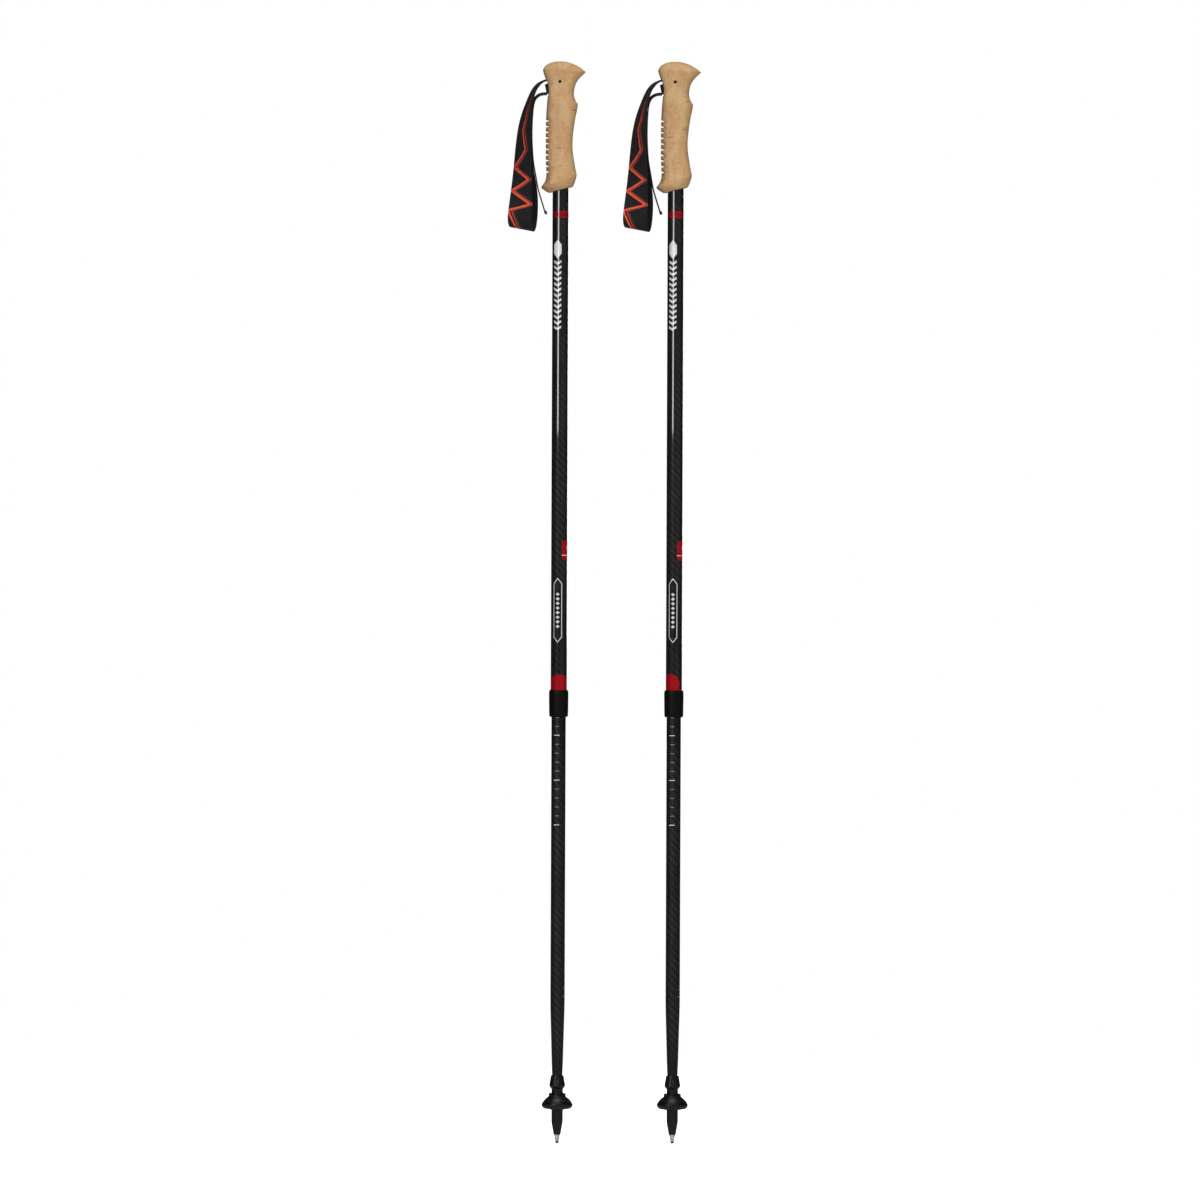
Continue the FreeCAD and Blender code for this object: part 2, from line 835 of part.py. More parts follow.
def make_pin(pole):
    """The steel pin across the slot that the webbing is folded round."""
    body = new_body(pole, "strap_pin")
    sketch = sketch_on(body, "XZ_Plane", "outline")
    centre = Vector(size.pin_along.value, size.pin_height.value, 0)
    sketch.addGeometry(Part.Circle(centre, Vector(0, 0, 1), size.pin_radius.value), False)
    tie(sketch, Sketcher.Constraint("DistanceX", -1, 1, 0, 3, centre.x), size.pin_along)
    tie(sketch, Sketcher.Constraint("DistanceY", -1, 1, 0, 3, centre.y), size.pin_height)
    tie(sketch, Sketcher.Constraint("Radius", 0, size.pin_radius.value), size.pin_radius)
    pad_both_ways(body, sketch, size.pin_length)
    finish(body, pole, "strap_pin")


def pad_both_ways(body, sketch, length):
    pad = body.newObject("PartDesign::Pad", f"{body.Name}_pad")
    pad.Profile = sketch
    pad.SideType = "Symmetric"
    bind(pad, Length=length)
    body.Tip = pad


def side_piece(pole, name, points, half_width):
    """A body padded both ways from an outline drawn on the XZ plane."""
    body = new_body(pole, name)
    sketch = sketch_on(body, "XZ_Plane", "outline")
    draw_profile(sketch, points)
    pad_both_ways(body, sketch, as_size(half_width) * 2)
    return finish(body, pole, name)


def make_wedge(pole):
    """The wedge between the two layers of webbing, which clamps the lower one on the slot's floor."""
    side_piece(
        pole,
        "strap_wedge",
        (
            (-16.4, 1175.4),
            (-12.0, 1175.4),
            (-5.4, 1183.0),
            (-5.4, 1186.9),
            (-10.0, 1186.9),
            (-18.1, 1183.6),
        ),
        size.slot_half_width - 0.6,
    )


def make_anchor(pole):
    """The webbing inside the slot: in over the pin, round it and out along the slot's floor."""
    t = SIZES["web_thickness"]
    x, z = SIZES["pin_along"], SIZES["pin_height"]
    inner = SIZES["pin_radius"] + 0.15
    outer = inner + t
    mouth = -16.5
    side_piece(
        pole,
        "strap_anchor",
        (
            (x, z + outer),
            (mouth, z + outer - 0.4),
            (mouth, z + inner - 0.4),
            (x, z + inner, -inner),
            (x + inner * 0.6, z - inner * 0.8),
            (-9.2, 1175.1),
            (mouth, 1175.1),
            (mouth, 1173.7),
            (-8.4, 1173.7),
            (x + outer * 0.6, z - outer * 0.8, outer),
        ),
        size.web_width * 0.5,
    )


# ---- webbing ------------------------------------------------------------------------------


def ruled_face(first, second):
    """The straight-ruled face between two curves that share their knots."""
    surface = Part.BSplineSurface()
    surface.buildFromPolesMultsKnots(
        [first.getPoles(), second.getPoles()],
        [2, 2],
        first.getMultiplicities(),
        [0.0, 1.0],
        first.getKnots(),
        False,
        False,
        1,
        first.Degree,
    )
    return surface.toShape()


def ribbon(stations, thickness, offset=0.0, first=0, last=-1):
    """A solid ribbon through stations of (middle, turn, dip, width), shifted outwards by offset.

    Its four long edges are smooth curves through the corners of all the stations, and the solid
    is the part from the first station to the last."""
    middles = [Vector(*station[0]) for station in stations]
    along_at = [0.0]
    corners_at = []
    for index, (_, turn_angle, dip, width) in enumerate(stations):
        ahead = middles[min(index + 1, len(middles) - 1)]
        behind = middles[max(index - 1, 0)]
        along = ahead.sub(behind).normalize()
        turn_angle, dip = math.radians(turn_angle), math.radians(dip)
        across = Vector(math.sin(turn_angle), -math.cos(turn_angle), -math.sin(dip)).normalize()
        outward = along.cross(across).normalize()
        centre = middles[index] + outward * offset
        half = across * (width / 2)
        rise = outward * (thickness / 2)
        corners_at.append(
            (centre - half - rise, centre + half - rise, centre + half + rise, centre - half + rise)
        )
        if index:
            along_at.append(along_at[-1] + middles[index].sub(behind).Length)
    rails = []
    for rail_points in zip(*corners_at):
        curve = Part.BSplineCurve()
        curve.interpolate(Points=list(rail_points), Parameters=along_at)
        curve.segment(along_at[first], along_at[last])
        rails.append(curve)
    faces = [ruled_face(rails[side], rails[(side + 1) % 4]) for side in range(4)]
    for corners in (corners_at[first], corners_at[last]):
        faces.append(Part.Face(Part.makePolygon([*corners, corners[0]])))
    shell = Part.makeShell(faces)
    shell.sewShape()
    solid = Part.makeSolid(shell)
    return solid if solid.Volume > 0 else solid.reversed()


def loop_stations(narrower=0.0):
    narrow, full = SIZES["web_width"], SIZES["strap_width"]
    return [
        ((x, y, z), turn_angle, dip, narrow + (full - narrow) * share - narrower)
        for x, y, z, turn_angle, dip, share in LOOP
    ]


def soft_piece(pole, name, shape):
    feature = doc.addObject("Part::Feature", f"{pole}_{name}_solid")
    feature.Shape = shape
    finish(feature, pole, name)


def make_webbing(pole):
    soft_piece(pole, "strap_webbing", ribbon(loop_stations(), SIZES["web_thickness"]))


def make_lining(pole):
    """The soft lining sewn to the inner side of the hand strap."""
    lining = SIZES["lining_thickness"]
    inward = -(SIZES["web_thickness"] + lining) / 2 - SIZES["lining_gap"]
    stations = loop_stations(narrower=2.0)
    soft_piece(pole, "strap_lining", ribbon(stations, lining, inward, LINING_FROM, LINING_TO))


def make_tail(pole):
    """The free end of the webbing, with its tip folded over and sewn."""
    stations = [(point, 0, 0, SIZES["web_width"]) for point in TAIL]
    strip = ribbon(stations, SIZES["tail_thickness"])
    end = Vector(*TAIL[-1])
    along = end.sub(Vector(*TAIL[-2])).normalize()
    fold_width = SIZES["web_width"] + 0.4
    fold_ends = [end - along * 0.6, end + along * 3.4]
    fold = ribbon([(tuple(point), 0, 0, fold_width) for point in fold_ends], 3.0)
    soft_piece(pole, "strap_tail", strip.fuse(fold))


MAKERS = (
    make_grip,
    make_insert,
    make_pin,
    make_wedge,
    make_anchor,
    make_webbing,
    make_lining,
    make_tail,
    make_upper_shaft,
    make_collar,
    make_expander,
    make_cone_nut,
    make_stud,
    make_plug,
    make_stop_nut,
    make_lower_shaft,
    make_ferrule,
    make_basket,
    make_tip_holder,
    make_carbide,
)

for pole in POLES:
    for make in MAKERS:
        make(pole)

doc.recompute()

for thing in doc.Objects:
    if "Invalid" in thing.State or "Error" in thing.State:
        raise RuntimeError(f"{thing.Label} did not build: {thing.State}")
for node in nodes:
    if node.Shape.isNull() or not node.Shape.isValid():
        raise RuntimeError(f"{node.Label} has no valid shape")

os.makedirs("parts", exist_ok=True)
for node in nodes:
    node.Shape.exportStep(f"parts/{node.Label}.step")
    extent = node.Shape.optimalBoundingBox(False)
    print(
        f"{node.Label}: {len(node.Shape.Solids)} solid(s), {node.Shape.Volume:.0f} mm3,"
        f" x {extent.XMin:.1f} to {extent.XMax:.1f}, y {extent.YMin:.1f} to {extent.YMax:.1f},"
        f" z {extent.ZMin:.1f} to {extent.ZMax:.1f}"
    )
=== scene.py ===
# A pair of trekking poles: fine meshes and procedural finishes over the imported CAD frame.

import math

import bmesh
import bpy
import numpy as np
from mathutils import Matrix, Vector


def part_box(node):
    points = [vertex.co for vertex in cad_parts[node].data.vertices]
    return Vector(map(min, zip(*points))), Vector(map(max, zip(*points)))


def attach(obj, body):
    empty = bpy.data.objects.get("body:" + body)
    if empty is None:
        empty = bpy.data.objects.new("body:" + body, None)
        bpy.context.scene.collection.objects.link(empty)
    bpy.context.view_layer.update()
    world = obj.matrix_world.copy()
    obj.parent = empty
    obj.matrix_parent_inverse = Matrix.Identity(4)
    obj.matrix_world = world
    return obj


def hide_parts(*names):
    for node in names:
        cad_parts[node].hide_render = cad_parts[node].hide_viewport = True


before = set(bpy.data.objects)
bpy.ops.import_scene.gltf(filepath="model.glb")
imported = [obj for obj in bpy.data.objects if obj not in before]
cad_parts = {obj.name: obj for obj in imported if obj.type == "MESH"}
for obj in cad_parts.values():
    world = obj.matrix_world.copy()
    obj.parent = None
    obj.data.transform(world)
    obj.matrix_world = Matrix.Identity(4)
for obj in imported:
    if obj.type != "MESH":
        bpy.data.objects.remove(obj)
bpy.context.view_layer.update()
scene = bpy.context.scene

MM = 0.001
HAND_HEIGHT = 1130.0  # of the origin above the tip, in millimetres
SPACING = sum(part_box("right_upper_shaft")[0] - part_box("left_upper_shaft")[0])
OFFSETS = {"left": 0.0, "right": SPACING}

# Radii and heights in millimetres. Heights are above the tip.
UPPER_RADIUS, UPPER_BORE, UPPER_FOOT, UPPER_HEAD = 9.0, 8.15, 479.6, 1165.0
LOWER_RADIUS, LOWER_WALL, LOWER_HEAD = 8.0, 1.1, 646.0
TAPER_TOP, TAPER_FOOT, TAPER_RADIUS = 154.7, 40.0, 4.85

# The loop of webbing: middle (x, y, height), turn and dip in degrees, and its share of the full width.
LOOP = (
    (-17.9, 0.0, 1188.5, 4, 8, 0.0),
    (-24.6, 0.0, 1184.6, 10, 8, 0.25),
    (-30.3, -0.4, 1177.2, 13, 5, 0.6),
    (-34.4, -1.0, 1166.6, 16, 2, 0.85),
    (-37.8, -1.9, 1154.4, 21, 0, 0.97),
    (-40.2, -3.1, 1138.6, 29, 0, 1.0),
    (-41.9, -4.6, 1117.2, 36, 0, 1.0),
    (-42.7, -6.0, 1092.4, 44, 1, 1.0),
    (-43.5, -7.4, 1066.5, 57, 3, 1.0),
    (-44.7, -8.3, 1045.0, 72, 6, 1.0),
    (-45.4, -7.7, 1032.0, 79, 9, 1.0),
    (-44.6, -4.5, 1024.9, 80, 11, 1.0),
    (-42.9, 0.5, 1022.6, 80, 11, 1.0),
    (-41.2, 5.3, 1025.6, 79, 10, 1.0),
    (-39.8, 8.3, 1033.0, 77, 8, 1.0),
    (-38.5, 8.9, 1049.0, 71, 5, 1.0),
    (-37.6, 7.9, 1070.0, 52, 2, 0.95),
    (-36.3, 6.3, 1088.0, 31, 0, 0.7),
    (-34.7, 4.8, 1106.0, 14, 0, 0.35),
    (-33.8, 3.4, 1128.0, 4, 0, 0.1),
    (-33.2, 2.0, 1147.0, 0, 0, 0.0),
    (-32.1, 0.9, 1161.0, 0, 0, 0.0),
    (-27.6, 0.3, 1171.0, 0, 0, 0.0),
    (-17.9, 0.0, 1174.4, 0, 0, 0.0),
)
TAIL = (
    (-15.6, 0.0, 1172.6),
    (-18.4, 0.0, 1172.5),
    (-22.0, 0.0, 1171.8),
    (-25.7, 0.1, 1169.8),
    (-28.6, 0.3, 1165.9),
    (-30.3, 0.6, 1159.5),
    (-31.4, 1.0, 1147.0),
    (-31.9, 1.2, 1131.0),
    (-31.4, 1.4, 1113.0),
    (-30.0, 1.6, 1097.0),
    (-27.0, 1.8, 1080.0),
    (-25.2, 2.0, 1069.7),
    (-21.4, 2.2, 1056.0),
    (-17.2, 2.4, 1042.6),
)
NARROW, FULL = 13.0, 28.0
LEAD = 1.6  # how far the drawn webbing reaches on into the slot, past each end of the loop
LINING_FROM, LINING_TO = 4, 17  # the stations of the loop that the lining spans
WEB_THICKNESS, LINING_THICKNESS, LINING_GAP, TAIL_THICKNESS = 1.4, 1.6, 0.2, 1.5
TAIL_NUDGE = 0.5  # how far the drawn tail lies nearer to the loop than its solid

# The zigzag on the webbing: (distance along, distance across) in millimetres.
ZIGZAG = (
    (6.0, 4.6), (20.0, 4.4), (31.0, 3.8), (51.5, 1.2), (61.8, -2.5), (85.5, 5.1), (104.8, -13.0),
    (118.8, 9.3), (131.5, -13.5), (145.8, 11.2), (154.2, -14.0), (176.0, -4.0), (197.8, -14.0),
)

# ---- shader helpers -------------------------------------------------------------------------


class Value:
    """A number or colour inside a node tree, with arithmetic that adds Math nodes."""

    def __init__(self, tree, socket):
        self.tree, self.socket = tree, socket

    def op(self, operation, *others):
        node = self.tree.nodes.new("ShaderNodeMath")
        node.operation = operation
        for slot, item in zip(node.inputs, (self, *others)):
            wire(self.tree, slot, item)
        return Value(self.tree, node.outputs[0])

    def __add__(self, other):
        return self.op("ADD", other)

    def __sub__(self, other):
        return self.op("SUBTRACT", other)

    def __mul__(self, other):
        return self.op("MULTIPLY", other)

    def __truediv__(self, other):
        return self.op("DIVIDE", other)

    def below(self, other):
        return self.op("LESS_THAN", other)

    def above(self, other):
        return self.op("GREATER_THAN", other)

    def smooth(self, low, high):
        """0 below low, 1 above high, and smooth in between."""
        node = self.tree.nodes.new("ShaderNodeMapRange")
        node.interpolation_type = "SMOOTHSTEP"
        wire(self.tree, node.inputs["Value"], self)
        wire(self.tree, node.inputs["From Min"], low)
        wire(self.tree, node.inputs["From Max"], high)
        return Value(self.tree, node.outputs["Result"])


def wire(tree, slot, item):
    if isinstance(item, Value):
        tree.links.new(item.socket, slot)
    elif hasattr(slot.default_value, "__len__"):
        slot.default_value = (*item, 1.0) if len(item) == 3 and len(slot.default_value) == 4 else item
    else:
        slot.default_value = item


class Finish:
    """A material: a Principled shader, and the nodes that feed it."""

    def __init__(self, name, **sockets):
        self.material = bpy.data.materials.new(name)
        self.material.use_nodes = True
        self.tree = self.material.node_tree
        self.shader = self.tree.nodes["Principled BSDF"]
        self.set(**sockets)

    def set(self, **sockets):
        for name, item in sockets.items():
            label = name.replace("_", " ").replace("Specular", "Specular IOR Level")
            wire(self.tree, self.shader.inputs[label], item)

    def node(self, kind, output=0, settings=None, **inputs):
        node = self.tree.nodes.new("ShaderNode" + kind)
        for key, item in (settings or {}).items():
            setattr(node, key, item)
        for key, item in inputs.items():
            wire(self.tree, node.inputs[key.replace("_", " ")], item)
        return Value(self.tree, node.outputs[output])

    def place(self, scale=(1, 1, 1), shift=(0, 0, 0)):
        """The object's own coordinates, stretched and shifted."""
        coordinates = self.node("TexCoord", "Object")
        return self.node("Mapping", Vector=coordinates, Scale=scale, Location=shift)

    def axes(self):
        split = self.tree.nodes.new("ShaderNodeSeparateXYZ")
        wire(self.tree, split.inputs[0], self.node("TexCoord", "Object"))
        return [Value(self.tree, output) for output in split.outputs]

    def noise(self, vector, scale, detail=3.0, roughness=0.5):
        return self.node("TexNoise", "Fac", Vector=vector, Scale=scale, Detail=detail, Roughness=roughness)

    def cells(self, vector, scale, output="Distance"):
        """Distance from the middle of a random cell, or the cell's own random Color."""
        return self.node("TexVoronoi", output, {"feature": "F1"}, Vector=vector, Scale=scale, Randomness=1.0)

    def level(self, colour):
        """The first channel of a colour, as a number."""
        return self.node("SeparateColor", 0, Color=colour)

    def chance(self, x, y):
        """A random number from 0 to 1 for each pair of whole numbers."""
        pair = self.node("CombineXYZ", 0, X=x, Y=y)
        return self.node("TexWhiteNoise", 0, {"noise_dimensions": "2D"}, Vector=pair)

    def mix(self, share, first, second):
        node = self.tree.nodes.new("ShaderNodeMix")
        node.data_type = "RGBA"
        wire(self.tree, node.inputs[0], share)
        wire(self.tree, node.inputs[6], first)
        wire(self.tree, node.inputs[7], second)
        return Value(self.tree, node.outputs[2])

    def ramp(self, value, stops, interpolation="LINEAR"):
        """A curve through stops of (position, level), both from 0 to 1."""
        node = self.tree.nodes.new("ShaderNodeValToRGB")
        node.color_ramp.interpolation = interpolation
        elements = node.color_ramp.elements
        while len(elements) > 1:
            elements.remove(elements[-1])
        for index, (position, level) in enumerate(stops):
            element = elements[0] if index == 0 else elements.new(position)
            element.position = position
            element.color = (level, level, level, 1)
        wire(self.tree, node.inputs[0], value)
        return Value(self.tree, node.outputs[0])

    def bump(self, height, distance, strength=1.0):
        return self.node("Bump", Height=height, Distance=distance, Strength=strength)


# ---- finishes -------------------------------------------------------------------------------


def cork_finish(name, shift):
    """Fine-grained cork: soft patches, sparse reddish pores, darker patches beside the notches."""
    cork = Finish(name, Specular=0.2)
    x, _, z = cork.axes()
    here = cork.place(shift=shift)
    drawn_out = cork.place((1, 1, 0.45), shift)
    patches = cork.noise(drawn_out, 90, 2, 0.5)
    warm = cork.noise(drawn_out, 210, 3, 0.6)
    mottle = cork.noise(here, 520, 3, 0.6)
    colour = cork.mix(patches.smooth(0.40, 0.62), (0.530, 0.305, 0.138), (0.590, 0.385, 0.190))
    colour = cork.mix(warm.smooth(0.48, 0.70) * 0.8, colour, (0.520, 0.265, 0.120))
    colour = cork.mix(mottle.smooth(0.35, 0.70) * 0.45, colour, (0.67, 0.455, 0.245))
    # Granules show only as a faint change of tone.
    granule = cork.level(cork.cells(here, 430, "Color"))
    colour = cork.mix(granule * 0.14, colour, (0.36, 0.20, 0.10))
    # Pores are short dark strokes lying across the grain, in about half of the cells.
    strokes = cork.place((0.55, 0.55, 2.6), shift)
    chance = cork.level(cork.cells(strokes, 62, "Color"))
    ragged = cork.noise(here, 900, 2, 0.6) * 0.10
    pores = (cork.cells(strokes, 62) + ragged).smooth(0.21, 0.12) * chance.above(0.46)
    colour = cork.mix(pores * 0.65, colour, (0.265, 0.085, 0.035))
    where = cork.noise(here, 75, 1, 0.5).smooth(0.50, 0.58)
    specks = (cork.cells(here, 230) + ragged).smooth(0.25, 0.14) * where
    colour = cork.mix(specks * 0.75, colour, (0.29, 0.11, 0.05))
    # The cork is darker, in noisy patches, beside the row of notches.
    beside = x.smooth(-0.0085, -0.0125) * z.smooth(-0.062, -0.054) * z.smooth(0.020, 0.012)
    darker_beside_notches = beside * cork.noise(here, 260, 3, 0.6).smooth(0.42, 0.62)
    colour = cork.mix(darker_beside_notches * 0.75, colour, (0.36, 0.145, 0.060))
    height = mottle * 0.5 + granule * 0.10 - pores * 1.3 - specks * 0.8 + cork.noise(here, 1700, 2, 0.6) * 0.25
    cork.set(
        Base_Color=colour,
        Roughness=warm.smooth(0.2, 0.8) * 0.15 + 0.60,
        Normal=cork.bump(height, 0.00022, 0.7),
    )
    return cork.material


def carbon_finish(name, radius, cells, dark, light, roughness, coat, ripple):
    """Two-by-two twill of carbon tows wrapped round a tube, under a clear coat.

    cells is how many tows lie round the tube; coat is the coat's weight and roughness. The lighter colour is a
    painted sheen on the crosswise tows."""
    carbon = Finish(name, Specular=0.14, Coat_Weight=coat[0], Coat_Roughness=coat[1], Coat_IOR=1.5)
    x, y, z = carbon.axes()
    around = x.op("ARCTAN2", y * -1.0) * (cells / math.tau)
    pitch = math.tau * radius * MM / cells
    up = z / pitch + 4000.0
    column, row = around.op("FLOOR"), up.op("FLOOR")
    upright = (column + row + 4000.0).op("MODULO", 4.0).below(1.5)
    across, along = around - column - 0.5, up - row - 0.5
    # Each tow is rounded across its width. It dives where it passes under the next one.
    round_up = across * across * -4.0 + 1.0
    round_across = along * along * -4.0 + 1.0
    height = carbon.mix(upright, round_across, round_up)
    fibres = carbon.noise(carbon.place((1, 1, 0.05)), 9000, 2, 0.6)
    threads = carbon.noise(carbon.place((0.05, 0.05, 1)), 9000, 2, 0.6)
    strand = carbon.mix(upright, threads, fibres)
    strand, level = carbon.level(strand), carbon.level(height)
    cloth = carbon.noise(carbon.place((1, 1, 0.3)), 60, 2, 0.5)
    # Painted sheen and shade: the crosswise tows are painted lighter, most along their crowns and least at
    # their edges where they dive under, in place of the light the fibres reflect.
    share = (upright * -1.0 + 1.0) * 0.75 + strand.smooth(0.3, 0.8) * 0.25
    colour = carbon.mix(share * level.smooth(0.0, 0.7) * cloth.smooth(0.2, 0.7), dark, light)
    bump = carbon.bump(level * 0.8 + strand * 0.12, ripple, 1.0)
    carbon.set(Base_Color=colour, Roughness=strand * 0.15 + roughness, Normal=bump)
    return carbon.material


def plastic_finish(
    name, colour, roughness, grain=1400.0, depth=0.00004, wear=(0.035, 0.035, 0.035), specular=0.34
):
    """Moulded plastic: a fine spark-eroded grain, faint cloudiness and slightly rubbed high spots."""
    plastic = Finish(name, Specular=specular)
    here = plastic.place()
    fine = plastic.noise(here, grain, 2, 0.6)
    cloud = plastic.noise(here, 90, 3, 0.6)
    rub = plastic.noise(here, 420, 4, 0.7).smooth(0.62, 0.80) * cloud.smooth(0.45, 0.65)
    plastic.set(
        Base_Color=plastic.mix(rub * 0.35, colour, wear),
        Roughness=cloud * 0.16 + fine * 0.08 + (roughness - 0.12),
        Normal=plastic.bump(fine, depth, 0.7),
    )
    return plastic.material


def metal_finish(name, colour, roughness, scale=(1, 1, 12)):
    """Turned metal with fine rings and a few dull patches."""
    metal = Finish(name, Metallic=1.0)
    rings = metal.noise(metal.place(scale), 900, 2, 0.6)
    dull = metal.noise(metal.place(), 500, 3, 0.6)
    metal.set(
        Base_Color=metal.mix(dull.smooth(0.45, 0.75) * 0.5, colour, [c * 0.72 for c in colour]),
        Roughness=rings * 0.15 + dull * 0.15 + roughness - 0.12,
        Normal=metal.bump(rings, 0.00003, 0.6),
    )
    return metal.material


def paint_finish(name, colour, shade):
    """Printed ink under the tube's clear coat."""
    paint = Finish(name, Specular=0.05, Coat_Weight=0.6, Coat_Roughness=0.06)
    mottle = paint.noise(paint.place(), 1400, 3, 0.6)
    paint.set(
        Base_Color=paint.mix(mottle.smooth(0.45, 0.75), colour, shade),
        Roughness=mottle * 0.2 + 0.35,
        Normal=paint.bump(mottle, 0.00002, 0.4),
    )
    return paint.material


def web_finish(name, patterned):
    """Ribbed webbing. The loop's has the orange-red zigzag woven in."""
    web = Finish(name, Specular=0.22, Sheen_Weight=0.05, Sheen_Roughness=0.4, Sheen_Tint=(0.5, 0.45, 0.45))
    place = web.node("UVMap", 0, {"uv_map": "cloth"})
    split = web.tree.nodes.new("ShaderNodeSeparateXYZ")
    wire(web.tree, split.inputs[0], place)
    along, across = [Value(web.tree, output) * 100.0 for output in split.outputs[:2]]  # millimetres
    along = along - LEAD
    rib = across * 1.25  # ribs 0.8 mm apart run along the webbing
    rib_column = rib.op("FLOOR")
    pick = along * 1.8 + rib_column.op("MODULO", 2.0) * 0.5  # picks 0.56 mm apart, staggered
    pick_row = pick.op("FLOOR")
    a, b = rib - rib_column - 0.5, pick - pick_row - 0.5
    knuckle = (a * a * -4.0 + 1.0) * (b * b * -2.6 + 1.0)
    tone = web.chance(rib_column, pick_row)
    fuzz = web.noise(web.place(), 2600, 2, 0.7)
    colour = web.mix(tone * 0.6 + fuzz * 0.4, (0.0040, 0.0035, 0.0040), (0.0150, 0.0130, 0.0140))
    if patterned:
        # The colour ramps hold levels from 0 to 1, so the line and its reach are scaled to fit.
        length, spread, steepest = 345.0, 40.0, 4.0
        spot = along * (1 / length)
        levels = [(u / length, v / spread + 0.5) for u, v in ZIGZAG]
        line = web.ramp(spot, levels) * spread - spread / 2
        # The stripe is as wide square to itself on a steep leg as on a flat one.
        reaches = []
        for (u, v), (next_u, next_v) in zip(ZIGZAG, ZIGZAG[1:] + ZIGZAG[-1:]):
            reaches.append((u / length, math.hypot(1, (next_v - v) / max(1, next_u - u)) / steepest))
        reach = web.ramp(spot, reaches, "CONSTANT") * steepest
        from_line = across - line
        ragged = web.chance(rib_column, pick_row + 7.0) * 0.25 - 0.12
        off = from_line.op("ABSOLUTE") / reach + ragged
        main = off.smooth(1.5, 1.25)
        bright = off.smooth(1.05, 0.75)
        second = ((from_line - 3.9).op("ABSOLUTE") / reach + ragged * 0.5).smooth(0.62, 0.42)
        third = ((from_line - 6.3).op("ABSOLUTE") / reach + ragged * 0.5).smooth(0.50, 0.28) * 0.45
        # Near the slot the coloured yarns run under the black ones. The zigzag ends at the foot.
        before_end = along.smooth(192.0, 182.0)
        woven = along.smooth(14.0, 55.0) * before_end
        colour = web.mix(third * woven, colour, (0.22, 0.06, 0.07))
        colour = web.mix(second * woven, colour, (0.62, 0.075, 0.040))
        deep = web.mix(woven, (0.05, 0.006, 0.008), (0.27, 0.014, 0.010))
        colour = web.mix(main * (woven * 0.75 + 0.25) * before_end, colour, deep)
        colour = web.mix(bright * woven, colour, (0.95, 0.115, 0.048))
    web.set(
        Base_Color=colour,
        Roughness=fuzz * 0.15 + 0.52,
        Normal=web.bump(knuckle + fuzz * 0.25, 0.00022, 0.8),
    )
    return web.material


def lining_finish():
    """Brushed knit: fine loops with a short nap."""
    lining = Finish("lining", Specular=0.2, Sheen_Weight=0.12, Sheen_Roughness=0.5, Sheen_Tint=(0.4, 0.4, 0.42))
    here = lining.place()
    knit = lining.cells(here, 1300)
    nap = lining.noise(here, 3200, 3, 0.7)
    colour = lining.mix(knit * 0.5 + nap * 0.5, (0.0035, 0.0035, 0.0040), (0.014, 0.0135, 0.015))
    lining.set(Base_Color=colour, Roughness=nap * 0.15 + 0.75, Normal=lining.bump(nap - knit, 0.00025, 0.6))
    return lining.material


def thread_finish():
    thread = Finish("thread", Specular=0.2, Sheen_Weight=0.04)
    twist = thread.noise(thread.place((3, 3, 1)), 3000, 1, 0.5)
    thread.set(
        Base_Color=thread.mix(twist, (0.004, 0.004, 0.004), (0.018, 0.016, 0.017)),
        Roughness=twist * 0.2 + 0.5,
        Normal=thread.bump(twist, 0.0001, 0.6),
    )
    return thread.material


BLACK = plastic_finish("black_plastic", (0.0045, 0.0045, 0.0045), 0.38)
DARK_WEAR = (0.015, 0.015, 0.015)
SATIN = plastic_finish("satin_black", (0.0050, 0.0052, 0.0046), 0.34, 2200.0, 0.00002, DARK_WEAR, 0.08)
WEDGE = plastic_finish("wedge_plastic", (0.0035, 0.0038, 0.0042), 0.45, wear=DARK_WEAR, specular=0.14)
NYLON = plastic_finish("grey_nylon", (0.17, 0.17, 0.18), 0.5, wear=(0.3, 0.3, 0.3))
STEEL = metal_finish("steel", (0.62, 0.60, 0.57), 0.30)
HOLDER = metal_finish("plated_steel", (0.80, 0.73, 0.62), 0.24)
ALUMINIUM = metal_finish("aluminium", (0.72, 0.73, 0.75), 0.30)
CARBIDE = metal_finish("carbide", (0.10, 0.09, 0.085), 0.42)
CORK = cork_finish("cork", (0, 0, 0))
OTHER_CORK = cork_finish("cork_of_right_grip", (0.31, 0.17, 0.23))
BLACKENED = metal_finish("blackened_steel", (0.030, 0.028, 0.027), 0.42)
GLOSS_CARBON = carbon_finish(
    "gloss_carbon",
    UPPER_RADIUS,
    cells=28,
    dark=(0.0048, 0.0043, 0.0040),
    light=(0.027, 0.024, 0.022),
    roughness=0.36,
    coat=(1.0, 0.045),
    ripple=0.00012,
)
MATTE_CARBON = carbon_finish(
    "matte_carbon",
    LOWER_RADIUS,
    cells=24,
    dark=(0.0048, 0.0042, 0.0037),
    light=(0.027, 0.022, 0.018),
    roughness=0.46,
    coat=(0.25, 0.32),
    ripple=0.00014,
)
WEBBING = web_finish("webbing", True)
PLAIN_WEBBING = web_finish("plain_webbing", False)
LINING = lining_finish()
THREAD = thread_finish()
WHITE = paint_finish("white_print", (0.72, 0.75, 0.76), (0.55, 0.58, 0.60))
RED = paint_finish("red_print", (0.38, 0.002, 0.008), (0.26, 0.0015, 0.006))
DARK_RED = paint_finish("dark_red_print", (0.22, 0.003, 0.006), (0.14, 0.002, 0.005))
SILVER = paint_finish("silver_print", (0.24, 0.24, 0.24), (0.14, 0.14, 0.14))
FAINT = paint_finish("faint_print", (0.070, 0.070, 0.070), (0.045, 0.045, 0.045))

# ---- meshes ---------------------------------------------------------------------------------


def new_object(name, vertices, faces, material):
    mesh = bpy.data.meshes.new(name)
    mesh.from_pydata([tuple(v) for v in vertices], [], [tuple(f) for f in faces])
    thing = bpy.data.objects.new(name, mesh)
    scene.collection.objects.link(thing)
    mesh.materials.append(material)
    mesh.update()
    return thing


def smooth_by_angle(thing, degrees=32):
    thing.data.shade_smooth()
    thing.data.set_sharp_from_angle(angle=math.radians(degrees))


